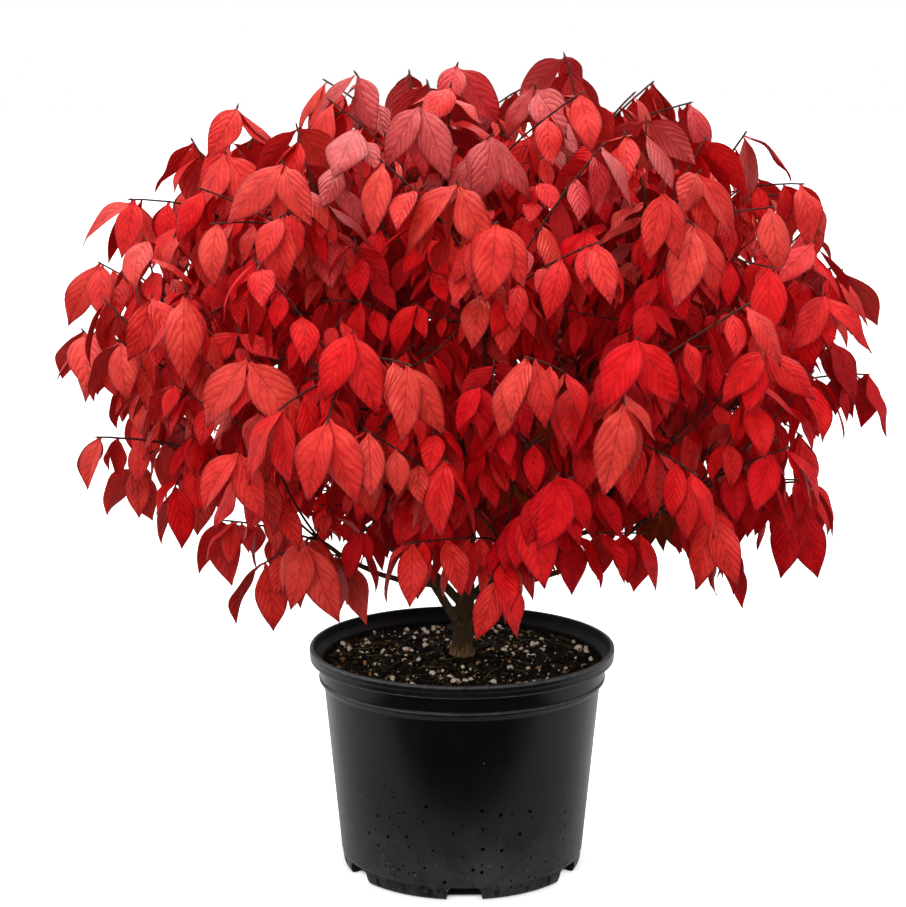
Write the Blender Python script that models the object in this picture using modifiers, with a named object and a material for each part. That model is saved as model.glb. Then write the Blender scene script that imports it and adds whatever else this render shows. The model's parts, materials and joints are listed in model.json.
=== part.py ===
# A dwarf burning bush in red autumn leaf, standing in its black nursery pot.
# Metres, +Z up, the front towards -Y. The origin is the middle of the pot's flat underside.

import math
import random

import bmesh
import bpy
import numpy as np
from mathutils import Matrix, Vector
from mathutils.bvhtree import BVHTree
from mathutils.kdtree import KDTree

TURN = 2 * math.pi
UP = Vector((0, 0, 1))
SEAT = 0.0003

# Pot: a rolled lip over a straight band, then a tapering wall down to a foot with drain notches
POT_HEIGHT = 0.206
LIP_RADIUS = 0.140
LIP_WIDTH = 0.0045
LIP_DEPTH = 0.012
LIP_RIDGE = 0.0065
LIP_ROUND = 0.0015
BAND_RADIUS = 0.1305
BAND_FOOT = 0.176
BODY_TOP_RADIUS = 0.1268
BODY_TOP = 0.172
BODY_FOOT_RADIUS = 0.1118
BODY_FOOT = 0.008
BASE_RADIUS = 0.1085
WALL = 0.0018
FLOOR = 0.0025
FOOT_ROUND = 0.003
POT_SIDES = 30
NOTCHES = 6
NOTCH_WIDTH = 0.029
NOTCH_HEIGHT = 0.008
NOTCH_DEPTH = 0.015

# Soil: filled to a finger's width under the lip, a little higher round the trunk
SOIL_EDGE = 0.190
SOIL_TOP = 0.196
SOIL_TOP_RADIUS = 0.030
SOIL_RING = 0.078
SOIL_RING_HEIGHT = 0.193

# Trunk: a short foot with a root flare, from the soil to the highest fork
TRUNK_TOP = 0.262
TRUNK_LEAN = Vector((0.004, -0.002, 0))
TRUNK_RADII = (0.0150, 0.0112, 0.0098, 0.0090, 0.0074)
TRUNK_STEPS = (0.0, 0.12, 0.3, 0.6, 1.0)
LOW_FORK = 0.218
HIGH_FORK = 0.242

# Crown: a broad dome, flatter underneath; fullness 2 would make it an ellipsoid
CROWN_CENTRE = Vector((0.009, 0.0, 0.440))
CROWN_REACH = 0.360
CROWN_RISE = 0.297
CROWN_DROP = 0.120
CROWN_FULLNESS = 2.3

# Shoots end evenly over the crown, along a golden-angle spiral from its lower edge to its top
SHOOTS = 165
LOWEST_SHOOT = -17.0
FIRST_SHOOT = 0.0
SHOOT_PLAY = 0.010
SHOOT_REACH = (0.93, 1.00)
SHOOT_SEED = 27
SLOPE_STEPS = 120

# Tiers of foliage: how many masses, the first one's bearing from the front, and their height
# as an angle at the crown's centre, both in degrees
SECTORS = 8
TIERS = {
    "skirt": (SECTORS, 4.0, -8.0),
    "mid": (SECTORS, 26.5, 14.0),
    "high": (SECTORS, 4.0, 39.0),
    "top": (3, -40.0, 67.0),
}

# Limbs: where each leaves its parent, how far it goes to the foliage, its slope there and its radii
STEM_SLOPE = 46.0
STEM_GATE = 0.56
STEM_RADII = (0.0042, 0.0024)
SKIRT_FORK = 0.24
SKIRT_SLOPE = 12.0
MID_FORK = 0.46
MID_SLOPE = 24.0
BOUGH_GATE = 0.50
BOUGH_RADII = (0.0028, 0.0020)
LEADER_RADII = (0.0056, 0.0024)
LEADER_GATE = 0.60
LEADER_SUNK = 0.006
LEADER_SLOPE = 88.0
TOP_FORK = 0.55
TOP_FORK_STEP = 0.12
TOP_SLOPE = 62.0
LIMB_POINTS = 5
LIMB_BEND = 0.5

# Twigs of a mass: a leading twig and side twigs, each to one shoot's end
LEAD_RADII = (0.0030, 0.0017)
TWIG_RADII = (0.0014, 0.0012)
TWIG_FORKS = (0.08, 0.80)
TWIG_FORK_BACK = 1.15
TWIG_BEND = 0.45
BUD = 0.007

# Leaves: longer than the living 60 mm, because one stands for three or four
LEAF_LENGTH = 0.078
LEAF_WIDTH = 0.047
LEAF_THICKNESS = 0.0024
LEAF_WIDEST = 0.44
LEAF_ARCH = 0.006
LEAF_FOLD = 0.004
LEAF_SINK = 0.0002
LEAF_CORNERS = ((LEAF_WIDEST, 0, 0), (LEAF_WIDEST, 0.5, 0), (LEAF_WIDEST, -0.5, 0), (1, 0, 0))
LEAF_SIZES = (0.88, 1.08)
LEAVES_ON_TWIG = {"skirt": 3, "mid": 3, "high": 4, "top": 4}
LEAF_TRIES = 6
NODE_SPACING = 0.032
PAIR_STEP = 0.003

# Which way a leaf points: sideways by its spread, which grows for each pair behind the shoot's
# end and on a shoot that stands up, ahead along the shoot, and down
LEAF_SPREAD = 0.5
PAIR_SPREAD = 0.35
UPWARD_SPREAD = 0.4
LEAF_AHEAD = (0.25, 0.45)
LEAF_DROP = (0.80, 1.25)

# Which way a leaf faces: out along the shoot, up, and rolled to one side
FACES_OUT = 0.8
FACES_UP = 0.6
FACES_SIDE = (-0.25, 0.35)
LEAF_TURN = 18
TRY_TURN = 8
TRY_SHRINK = 0.03

# Room: what is kept clear round twigs, limbs and leaves, and how far leaves hang under a shoot
LIMB_MARGIN = 0.0020
TWIG_MARGIN = 0.0008
LEAF_MARGIN = 0.0012
HANG = 0.030

PLASTIC = ((0.012, 0.012, 0.014), 0.38)
EARTH = ((0.030, 0.019, 0.012), 0.95)
BARK = ((0.070, 0.048, 0.030), 0.85)
GREEN_BARK = ((0.062, 0.046, 0.022), 0.80)
SCARLET = ((0.560, 0.018, 0.014), 0.45)
CRIMSON = ((0.400, 0.008, 0.018), 0.45)


def material(name, look):
    """A Principled material of one colour and roughness."""
    colour, roughness = look
    made = bpy.data.materials.new(name)
    made.use_nodes = True
    shader = made.node_tree.nodes["Principled BSDF"]
    shader.inputs["Base Color"].default_value = (*colour, 1)
    shader.inputs["Roughness"].default_value = roughness
    shader.inputs["Metallic"].default_value = 0
    return made


def new_collection(name):
    made = bpy.data.collections.new(name)
    bpy.context.scene.collection.children.link(made)
    return made


def new_object(name, mesh, collection, look=None):
    made = bpy.data.objects.new(name, mesh)
    collection.objects.link(made)
    if look is not None:
        mesh.materials.clear()
        mesh.materials.append(material(name, look))
    return made


def mesh_from(bm, name):
    """Close a bmesh into a mesh with its faces pointing out."""
    bmesh.ops.recalc_face_normals(bm, faces=bm.faces)
    mesh = bpy.data.meshes.new(name)
    bm.to_mesh(mesh)
    bm.free()
    return mesh


def bearing(degrees, slope=0.0):
    """A unit vector at a bearing from the front, rising at a slope, both in degrees."""
    turn, rise = math.radians(degrees), math.radians(slope)
    return Vector((math.sin(turn) * math.cos(rise), -math.cos(turn) * math.cos(rise), math.sin(rise)))


def curve_points(start, control, end, count):
    """Points along a quadratic curve."""
    steps = (i / (count - 1) for i in range(count))
    return [start * (1 - t) ** 2 + control * (2 * t * (1 - t)) + end * t**2 for t in steps]


def spread_evenly(first, last, count):
    return [first + (last - first) * i / (count - 1) for i in range(count)]


def point_along(points, share):
    """The point at a share of a route, and the heading there."""
    place = min(share, 0.999) * (len(points) - 1)
    i = int(place)
    return points[i].lerp(points[i + 1], place - i), (points[i + 1] - points[i]).normalized()


# Pot and soil


def pot_profile():
    """Radius and height from the middle of the floor, up inside, over the lip and down outside."""
    inner_foot = BODY_FOOT_RADIUS - WALL
    inner_top = BODY_TOP_RADIUS - WALL
    inner_band = BAND_RADIUS - WALL
    lip_inside = LIP_RADIUS - LIP_WIDTH
    return [
        (0.0, FLOOR),
        (inner_foot - FOOT_ROUND, FLOOR),
        (inner_foot, FLOOR + FOOT_ROUND),
        (inner_top, BODY_TOP),
        (inner_band, BAND_FOOT),
        (inner_band, POT_HEIGHT - LIP_DEPTH),
        (lip_inside, POT_HEIGHT - LIP_DEPTH + LIP_WIDTH),
        (lip_inside + LIP_ROUND / 2, POT_HEIGHT),
        (LIP_RADIUS - LIP_ROUND, POT_HEIGHT),
        (LIP_RADIUS, POT_HEIGHT - LIP_ROUND),
        (LIP_RADIUS, POT_HEIGHT - LIP_RIDGE),
        (LIP_RADIUS - LIP_ROUND, POT_HEIGHT - LIP_DEPTH),
        (BAND_RADIUS, POT_HEIGHT - LIP_DEPTH - LIP_ROUND),
        (BAND_RADIUS, BAND_FOOT + LIP_ROUND),
        (BAND_RADIUS + LIP_ROUND / 2, BAND_FOOT),
        (BODY_TOP_RADIUS, BODY_TOP),
        (BODY_FOOT_RADIUS, BODY_FOOT),
        (BASE_RADIUS + FOOT_ROUND / 2, FOOT_ROUND),
        (BASE_RADIUS, 0.0),
        (0.0, 0.0),
    ]


def soil_profile():
    """Radius and height from the middle of the top, out to the pot's wall and down to its floor."""
    foot = BODY_FOOT_RADIUS - WALL - SEAT
    top = BODY_TOP_RADIUS - WALL - SEAT
    band = BAND_RADIUS - WALL - SEAT
    return [
        (0.0, SOIL_TOP),
        (SOIL_TOP_RADIUS, SOIL_TOP),
        (SOIL_RING, SOIL_RING_HEIGHT),
        (band, SOIL_EDGE),
        (band, BAND_FOOT + SEAT),
        (top, BODY_TOP + SEAT),
        (foot, FLOOR + FOOT_ROUND + SEAT),
        (foot - FOOT_ROUND, FLOOR + SEAT),
        (0.0, FLOOR + SEAT),
    ]


def turned(name, profile, collection, look):
    """A profile in the XZ plane turned about Z."""
    bm = bmesh.new()
    verts = [bm.verts.new((radius, 0, height)) for radius, height in profile]
    for low, high in zip(verts, verts[1:]):
        bm.edges.new((low, high))
    mesh = bpy.data.meshes.new(name)
    bm.to_mesh(mesh)
    bm.free()
    made = new_object(name, mesh, collection, look)
    screw = made.modifiers.new("turn", "SCREW")
    screw.axis = "Z"
    screw.steps = POT_SIDES
    screw.render_steps = POT_SIDES
    screw.use_merge_vertices = True
    screw.merge_threshold = 0.00005
    screw.use_smooth_shade = True
    return made


def cut_notches(pot, cutters):
    """Drain notches through the corner of the wall and the floor, one of them facing the front."""
    for i in range(NOTCHES):
        bpy.ops.mesh.primitive_cube_add(size=1)
        block = bpy.context.object
        block.name = f"notch_{i + 1}"
        for held in list(block.users_collection):
            held.objects.unlink(block)
        cutters.objects.link(block)
        out = bearing(360 * i / NOTCHES)
        scale = Matrix.Diagonal((NOTCH_WIDTH, 2 * NOTCH_DEPTH, 2 * NOTCH_HEIGHT, 1))
        turn = Matrix.Rotation(TURN * i / NOTCHES, 4, "Z")
        block.data.transform(Matrix.Translation(out * BASE_RADIUS) @ turn @ scale)
        block.hide_render = True
        block.display_type = "WIRE"
        cut = pot.modifiers.new(block.name, "BOOLEAN")
        cut.operation = "DIFFERENCE"
        cut.object = block


# Crown


def crown_radius(away):
    """How far the crown reaches from its centre in a direction."""
    level = math.hypot(away.x, away.y) / away.length
    tilt = away.z / away.length
    height = CROWN_RISE if tilt > 0 else CROWN_DROP
    total = (level / CROWN_REACH) ** CROWN_FULLNESS + (abs(tilt) / height) ** CROWN_FULLNESS
    return total ** (-1 / CROWN_FULLNESS)


def on_crown(away, share=1.0):
    """The point of the crown's surface in a direction from its centre."""
    return CROWN_CENTRE + away.normalized() * crown_radius(away) * share


def even_slopes(count):
    """Slopes from the lowest shoot's to upright, with equal areas of crown between them."""
    slopes = spread_evenly(LOWEST_SHOOT, 90.0, SLOPE_STEPS)
    places = [on_crown(bearing(0, slope)) - CROWN_CENTRE for slope in slopes]
    areas = [0.0]
    for low, high in zip(places, places[1:]):
        areas.append(areas[-1] + (high - low).length * abs(low.y + high.y))
    wanted = [areas[-1] * (i + 0.5) / count for i in range(count)]
    return [float(slope) for slope in np.interp(wanted, areas, slopes)]


def plan_shoots():
    """Where the shoots end, spread evenly over the crown with some play."""
    rng = random.Random(SHOOT_SEED)
    golden = 180 * (3 - math.sqrt(5))
    ends = []
    for i, slope in enumerate(even_slopes(SHOOTS)):
        end = on_crown(bearing(FIRST_SHOOT + golden * i, slope), rng.uniform(*SHOOT_REACH))
        ends.append(end + Vector([rng.uniform(-SHOOT_PLAY, SHOOT_PLAY) for _ in range(3)]))
    return ends


class Limb:
    """One tapering limb along a route. It starts inside its parent, and the trunk has none."""

    def __init__(self, name, parent, route, radii):
        self.name = name
        self.parent = parent
        self.route = route
        self.radii = radii

    def heading(self):
        return (self.route[-1] - self.route[-2]).normalized()


class Mass:
    """One mass of foliage: it takes over from a limb's end and leads out to the shoots it feeds."""

    def __init__(self, tier, number, tip):
        self.tier = tier
        self.name = f"foliage_{tier}_{number}"
        self.tip = tip
        self.limb = None
        self.shoots = []

    def gate(self):
        return self.limb.route[-1] + self.limb.heading() * SEAT


def grown_limb(name, parent, start, target, gate, slope, radii):
    """A limb from a point on its parent, first at a slope and then curving towards its target."""
    way = target - start
    level = Vector((way.x, way.y, 0)).normalized()
    rise = math.radians(slope)
    heading = level * math.cos(rise) + UP * math.sin(rise)
    end = start + way * gate
    control = start + heading * (way.length * gate * LIMB_BEND)
    route = curve_points(start, control, end, LIMB_POINTS)
    return Limb(name, parent, route, spread_evenly(*radii, LIMB_POINTS))


def plan_masses(shoots):
    """The masses of each tier, each led by the shoot nearest its place, and the shoots each feeds."""
    masses, free = {}, list(shoots)
    for tier, (count, first, slope) in TIERS.items():
        for i in range(count):
            place = on_crown(bearing(first + 360 * i / count, slope))
            tip = min(free, key=lambda end: (end - place).length)
            free.remove(tip)
            masses[tier, i] = Mass(tier, i + 1, tip)
    for end in free:
        nearest = min(masses.values(), key=lambda mass: (mass.tip - end).length)
        nearest.shoots.append(end)
    return masses


def plan_trunk():
    foot = Vector((0, 0, SOIL_TOP + SEAT))
    top = Vector((0, 0, TRUNK_TOP)) + TRUNK_LEAN
    route = [foot.lerp(top, share) for share in TRUNK_STEPS]
    route[1].x, route[1].y = foot.x, foot.y
    return Limb("trunk", None, route, TRUNK_RADII)


def plan_limbs(masses):
    """A stem for each sector with a bough to each lower tier, and a leader in the middle."""
    trunk = plan_trunk()
    limbs = [trunk]

    def add(mass, *how):
        mass.limb = grown_limb(*how)
        limbs.append(mass.limb)
        return mass.limb

    for i in range(SECTORS):
        start = Vector((0, 0, LOW_FORK if i % 2 else HIGH_FORK)) + TRUNK_LEAN * 0.5
        mass = masses["high", i]
        stem = add(mass, f"stem_{i + 1}", trunk, start, mass.tip, STEM_GATE, STEM_SLOPE, STEM_RADII)
        for tier, share, slope in (("skirt", SKIRT_FORK, SKIRT_SLOPE), ("mid", MID_FORK, MID_SLOPE)):
            fork, _ = point_along(stem.route, share)
            mass = masses[tier, i]
            add(mass, f"bough_{tier}_{i + 1}", stem, fork, mass.tip, BOUGH_GATE, slope, BOUGH_RADII)
    mass = masses["top", 0]
    start = trunk.route[-1] - UP * LEADER_SUNK
    leader = add(mass, "leader", trunk, start, mass.tip, LEADER_GATE, LEADER_SLOPE, LEADER_RADII)
    for i in range(1, TIERS["top"][0]):
        fork, _ = point_along(leader.route, TOP_FORK + TOP_FORK_STEP * i)
        mass = masses["top", i]
        add(mass, f"bough_top_{i}", leader, fork, mass.tip, BOUGH_GATE, TOP_SLOPE, BOUGH_RADII)
    return limbs


# Limbs as tapering tubes


def tube_mesh(name, route, radii, swell=0.0, rounding=1):
    """A tapering tube along a route, with its ends filled and welded."""
    curve = bpy.data.curves.new(name, "CURVE")
    curve.dimensions = "3D"
    curve.bevel_depth = 1.0
    curve.bevel_resolution = rounding
    curve.use_fill_caps = True
    spline = curve.splines.new("POLY")
    spline.points.add(len(route) - 1)
    for point, place, radius in zip(spline.points, route, radii):
        point.co = (*place, 1)
        point.radius = radius + swell
    holder = bpy.data.objects.new(name, curve)
    bpy.context.scene.collection.objects.link(holder)
    bpy.context.view_layer.update()
    evaluated = holder.evaluated_get(bpy.context.evaluated_depsgraph_get())
    mesh = bpy.data.meshes.new_from_object(evaluated)
    bpy.data.objects.remove(holder)
    bpy.data.curves.remove(curve)
    bm = bmesh.new()
    bm.from_mesh(mesh)
    bmesh.ops.remove_doubles(bm, verts=bm.verts, dist=0.00001)
    bmesh.ops.recalc_face_normals(bm, faces=bm.faces)
    bm.to_mesh(mesh)
    bm.free()
    return mesh


def limb_mesh(limb, swell=0.0):
    """A limb's tube, or one a little thicker and longer."""
    route = [*limb.route[:-1], limb.route[-1] + limb.heading() * swell]
    return tube_mesh(limb.name, route, limb.radii, swell, 3 if limb.parent is None else 1)


def build_limb(limb, plant, cutters):
    """A limb, cut clear of the parent that its foot starts inside."""
    made = new_object(limb.name, limb_mesh(limb), plant, GREEN_BARK if limb.parent else BARK)
    if limb.parent is None:
        return
    seat = new_object(f"{limb.name}_seat", limb_mesh(limb.parent, SEAT * 1.2), cutters)
    seat.hide_render = True
    seat.display_type = "WIRE"
    cut = made.modifiers.new("seat", "BOOLEAN")
    cut.operation = "DIFFERENCE"
    cut.object = seat


# Foliage


class Twig:
    """A twig's route, radii and length."""

    def __init__(self, route, radii):
        self.route = route
        self.radii = radii
        self.length = sum((b - a).length for a, b in zip(route, route[1:]))


def tree_of(mesh):
    """A mesh as a tree that tells whether another one cuts it."""
    return BVHTree.FromPolygons([v.co for v in mesh.vertices], [p.vertices for p in mesh.polygons])


class Room:
    """What already stands in the crown: limbs, each mass's twigs, and leaves."""

    def __init__(self, limbs, masses):
        self.limbs = {limb: tree_of(limb_mesh(limb, LIMB_MARGIN)) for limb in limbs}
        self.twigs = {mass: [] for mass in masses}
        self.leaves = []
        self.owners = []
        ends = [(mass, end) for mass in masses for end in [mass.tip, *mass.shoots]]
        self.hanging = KDTree(len(ends))
        for i, (mass, end) in enumerate(ends):
            self.hanging.insert(end - UP * HANG, i)
            self.owners.append(mass)
        self.hanging.balance()

    def takes_twig(self, tree, mass):
        others = (twig for owner, twigs in self.twigs.items() if owner is not mass for twig in twigs)
        limbs = (own for limb, own in self.limbs.items() if limb is not mass.limb)
        return not any(tree.overlap(other) for other in [*others, *limbs])

    def takes_leaf(self, tree, frame, mass, twig):
        """Whether a leaf lies in its mass's own space and cuts nothing but the twig it hangs on."""
        corners = [frame @ Vector(corner) for corner in LEAF_CORNERS]
        if any(self.owners[self.hanging.find(corner)[1]] is not mass for corner in corners):
            return False
        if any(tree.overlap(own) for own in self.limbs.values()):
            return False
        for twigs in self.twigs.values():
            if any(other is not twig and tree.overlap(other) for other in twigs):
                return False
        near = (leaf for middle, leaf in self.leaves if (middle - corners[0]).length < 2 * LEAF_LENGTH)
        return not any(tree.overlap(leaf) for leaf in near)


def plan_twigs(mass, room):
    """The leading twig of a mass, and a side twig from it to each shoot that the mass feeds."""
    gate = mass.gate()
    reach = (mass.tip - gate).length
    control = gate + mass.limb.heading() * reach * TWIG_BEND
    lead = Twig(curve_points(gate, control, mass.tip, 4), spread_evenly(*LEAD_RADII, 4))
    twigs = [lead]
    for end in sorted(mass.shoots, key=lambda end: (end - mass.tip).length, reverse=True):
        low, high = TWIG_FORKS
        share = 1 - TWIG_FORK_BACK * (end - mass.tip).length / lead.length
        start, heading = point_along(lead.route, max(low, min(high, share)))
        way = end - start
        bend = start + (heading + way.normalized()).normalized() * way.length * TWIG_BEND
        twigs.append(Twig(curve_points(start, bend, end, 3), spread_evenly(*TWIG_RADII, 3)))
    kept = []
    for twig in twigs:
        tree = tree_of(twig_mesh(twig, TWIG_MARGIN))
        if room.takes_twig(tree, mass):
            room.twigs[mass].append(tree)
            kept.append((twig, tree))
    return kept


def leaf_pose(heading, side, spread, rng):
    """Which way a leaf points and which way it faces: it hangs out and down from its twig."""
    points = side * spread + heading * rng.uniform(*LEAF_AHEAD) - UP * rng.uniform(*LEAF_DROP)
    points.normalize()
    faces = heading * FACES_OUT + UP * FACES_UP + side * rng.uniform(*FACES_SIDE)
    faces -= points * faces.dot(points)
    return points, faces.normalized()


def leaf_frame(node, points, faces, size):
    """The matrix that takes a leaf of unit length and width to its place."""
    across = faces.cross(points)
    columns = (points * LEAF_LENGTH * size, across * LEAF_WIDTH * size, faces * LEAF_LENGTH * size)
    frame = Matrix([[*row] for row in zip(*columns)]).to_4x4()
    frame.translation = node - points * LEAF_SINK
    return frame


def leaf_mesh(frame, swell=0.0):
    """A folded, arched leaf of eight faces, from a ball with four sides and one ring."""
    bm = bmesh.new()
    bmesh.ops.create_uvsphere(bm, u_segments=4, v_segments=2, radius=1)
    for vert in bm.verts:
        x, y, z = vert.co
        at_end = abs(x) > 0.5
        along = (x + 1) / 2 if at_end else LEAF_WIDEST
        middle = 0.0 if at_end else LEAF_ARCH
        height = middle - LEAF_FOLD * abs(y) + z * (LEAF_THICKNESS / 2 + swell)
        vert.co = (along, y / 2, height / LEAF_LENGTH)
    bmesh.ops.transform(bm, matrix=frame, verts=bm.verts)
    return mesh_from(bm, "leaf")


def plan_leaves(twig, own_tree, mass, room, rng):
    """Leaves in opposite pairs back from a twig's end, each in the first pose that has room."""
    frames = []
    for number in range(LEAVES_ON_TWIG[mass.tier]):
        pair, second = divmod(number, 2)
        back = BUD + pair * NODE_SPACING + second * PAIR_STEP
        node, heading = point_along(twig.route, 1 - back / twig.length)
        level = heading.cross(UP).normalized()
        upright = level.cross(heading)
        upward = max(0.0, heading.z) ** 2
        spread = LEAF_SPREAD + PAIR_SPREAD * pair + UPWARD_SPREAD * upward
        for attempt in range(LEAF_TRIES):
            play = rng.uniform(-1, 1) * (LEAF_TURN + TRY_TURN * attempt)
            turn = math.radians(90 * pair * upward + play)
            side = (level * math.cos(turn) + upright * math.sin(turn)) * (1 if second else -1)
            points, faces = leaf_pose(heading, side, spread, rng)
            size = rng.uniform(*LEAF_SIZES) - TRY_SHRINK * attempt
            frame = leaf_frame(node, points, faces, size)
            tree = tree_of(leaf_mesh(frame, LEAF_MARGIN))
            if room.takes_leaf(tree, frame, mass, own_tree):
                room.leaves.append((frame @ Vector(LEAF_CORNERS[0]), tree))
                frames.append(frame)
                break
    return frames


def twig_mesh(twig, swell=0.0):
    """A three-sided tapering twig."""
    bm = bmesh.new()
    ring = bmesh.ops.create_circle(bm, segments=3, radius=1)["verts"]
    frames, heading, turn = [], UP, UP.rotation_difference(UP)
    last = len(twig.route) - 1
    for i, place in enumerate(twig.route):
        ahead = (twig.route[min(i + 1, last)] - twig.route[max(i - 1, 0)]).normalized()
        turn = heading.rotation_difference(ahead) @ turn
        heading = ahead
        size = Matrix.Scale(twig.radii[i] + swell, 4)
        frames.append(Matrix.Translation(place) @ turn.to_matrix().to_4x4() @ size)
    bmesh.ops.transform(bm, matrix=frames[0], verts=ring)
    edges = bm.edges[:]
    for low, high in zip(frames, frames[1:]):
        grown = bmesh.ops.extrude_edge_only(bm, edges=edges)["geom"]
        ring = [item for item in grown if isinstance(item, bmesh.types.BMVert)]
        edges = [item for item in grown if isinstance(item, bmesh.types.BMEdge)]
        bmesh.ops.transform(bm, matrix=high @ low.inverted(), verts=ring)
    bmesh.ops.holes_fill(bm, edges=bm.edges, sides=3)
    return mesh_from(bm, "twig")


def keep_one_body(mesh):
    """Drop the loose scraps of a fused mass and fill the hollows that fusing sealed."""
    bm = bmesh.new()
    bm.from_mesh(mesh)
    bodies, left = [], set(bm.faces)
    while left:
        body, queue = [], [left.pop()]
        while queue:
            face = queue.pop()
            body.append(face)
            for other in {other for edge in face.edges for other in edge.link_faces} & left:
                left.remove(other)
                queue.append(other)
        bodies.append(body)
    bodies.sort(key=len)
    bmesh.ops.delete(bm, geom=[face for body in bodies[:-1] for face in body], context="FACES")
    bm.to_mesh(mesh)
    bm.free()


def build_mass(mass, room, plant):
    """Twigs and leaves of one mass, fused into one solid."""
    rng = random.Random(mass.name)
    twigs = plan_twigs(mass, room)
    meshes = [twig_mesh(twig) for twig, _ in twigs]
    for twig, tree in twigs:
        meshes += [leaf_mesh(frame) for frame in plan_leaves(twig, tree, mass, room, rng)]
    spray = new_collection(f"{mass.name}_spray")
    lead = new_object(mass.name, meshes[0], plant)
    for mesh in meshes[1:]:
        new_object("sprig", mesh, spray)
    fuse = lead.modifiers.new("fuse", "BOOLEAN")
    fuse.operation = "UNION"
    fuse.operand_type = "COLLECTION"
    fuse.collection = spray
    bpy.context.view_layer.update()
    evaluated = lead.evaluated_get(bpy.context.evaluated_depsgraph_get())
    fused = bpy.data.meshes.new_from_object(evaluated)
    keep_one_body(fused)
    lead.modifiers.clear()
    lead.data = fused
    fused.materials.clear()
    fused.materials.append(material(mass.name, CRIMSON if mass.tier == "skirt" else SCARLET))
    for sprig in list(spray.objects):
        bpy.data.objects.remove(sprig)
    bpy.data.collections.remove(spray)


def main():
    for old in list(bpy.data.objects):
        bpy.data.objects.remove(old)
    plant = new_collection("potted_burning_bush")
    cutters = new_collection("cutters")
    pot = turned("pot", pot_profile(), plant, PLASTIC)
    cut_notches(pot, cutters)
    turned("soil", soil_profile(), plant, EARTH)
    masses = plan_masses(plan_shoots())
    limbs = plan_limbs(masses)
    for limb in limbs:
        build_limb(limb, plant, cutters)
    room = Room(limbs, masses.values())
    for mass in masses.values():
        build_mass(mass, room, plant)


main()
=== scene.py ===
# Looks of the dwarf burning bush in its nursery pot: bark, fine twigs, leaves, soil and pot.
# Metres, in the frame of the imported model: +Z up, the front towards -Y.

import json
import math
import random

import bmesh
import bpy
import numpy as np
from mathutils import Matrix, Vector, noise
from mathutils.bvhtree import BVHTree

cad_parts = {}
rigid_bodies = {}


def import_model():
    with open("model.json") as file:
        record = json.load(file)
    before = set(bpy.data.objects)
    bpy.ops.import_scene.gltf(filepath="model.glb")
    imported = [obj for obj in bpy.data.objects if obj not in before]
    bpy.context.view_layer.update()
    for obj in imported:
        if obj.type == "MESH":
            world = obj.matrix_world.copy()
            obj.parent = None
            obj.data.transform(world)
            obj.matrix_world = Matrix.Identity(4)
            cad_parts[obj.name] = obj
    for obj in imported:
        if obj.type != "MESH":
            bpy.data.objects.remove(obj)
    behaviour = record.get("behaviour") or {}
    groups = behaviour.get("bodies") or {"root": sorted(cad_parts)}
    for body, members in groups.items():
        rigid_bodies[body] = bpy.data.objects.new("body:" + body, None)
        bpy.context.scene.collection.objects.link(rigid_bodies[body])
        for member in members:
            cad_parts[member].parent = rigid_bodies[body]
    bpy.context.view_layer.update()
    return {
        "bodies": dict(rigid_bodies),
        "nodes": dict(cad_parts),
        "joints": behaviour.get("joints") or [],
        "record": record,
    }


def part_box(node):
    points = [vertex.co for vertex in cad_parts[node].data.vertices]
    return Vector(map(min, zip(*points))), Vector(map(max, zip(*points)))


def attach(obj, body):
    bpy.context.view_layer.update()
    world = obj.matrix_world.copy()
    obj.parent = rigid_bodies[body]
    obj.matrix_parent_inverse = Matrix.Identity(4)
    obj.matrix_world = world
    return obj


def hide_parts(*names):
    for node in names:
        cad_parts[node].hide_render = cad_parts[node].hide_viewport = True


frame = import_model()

TURN = 2 * math.pi
UP = Vector((0, 0, 1))
BODY = "root"

# Crown: a broad dome, flatter underneath; fullness 2 would make it an ellipsoid
CROWN_CENTRE = Vector((0.009, 0.0, 0.440))
CROWN_REACH = 0.360
CROWN_RISE = 0.297
CROWN_DROP = 0.120
CROWN_FULLNESS = 2.3

# Shoots end evenly over the crown, along a golden-angle spiral from its lower edge to its top
SHOOTS = 165
LOWEST_SHOOT = -17.0
SHOOT_PLAY = 0.010
SHOOT_REACH = (0.93, 1.00)
SHOOT_SEED = 27
SLOPE_STEPS = 120

# Finer shoots fork off those, and end deeper in the crown
FINE_SHOOTS = 1450
FINE_REACH = (0.40, 0.87)
FINE_LOWEST = -52.0
FINE_LOW_SHARE = 0.84
FINE_SEED = 5

# Low shoots near the middle hang lower under their leaves, and the crown is open at some places,
# each given by its bearing from the front and its slope
SAG = 0.030
SAG_REACH = 0.335
SAG_FADE = 0.05
OPEN_PLACES = ((-65.0, -13.0),)
OPEN_WIDTH = 5.0

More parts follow.
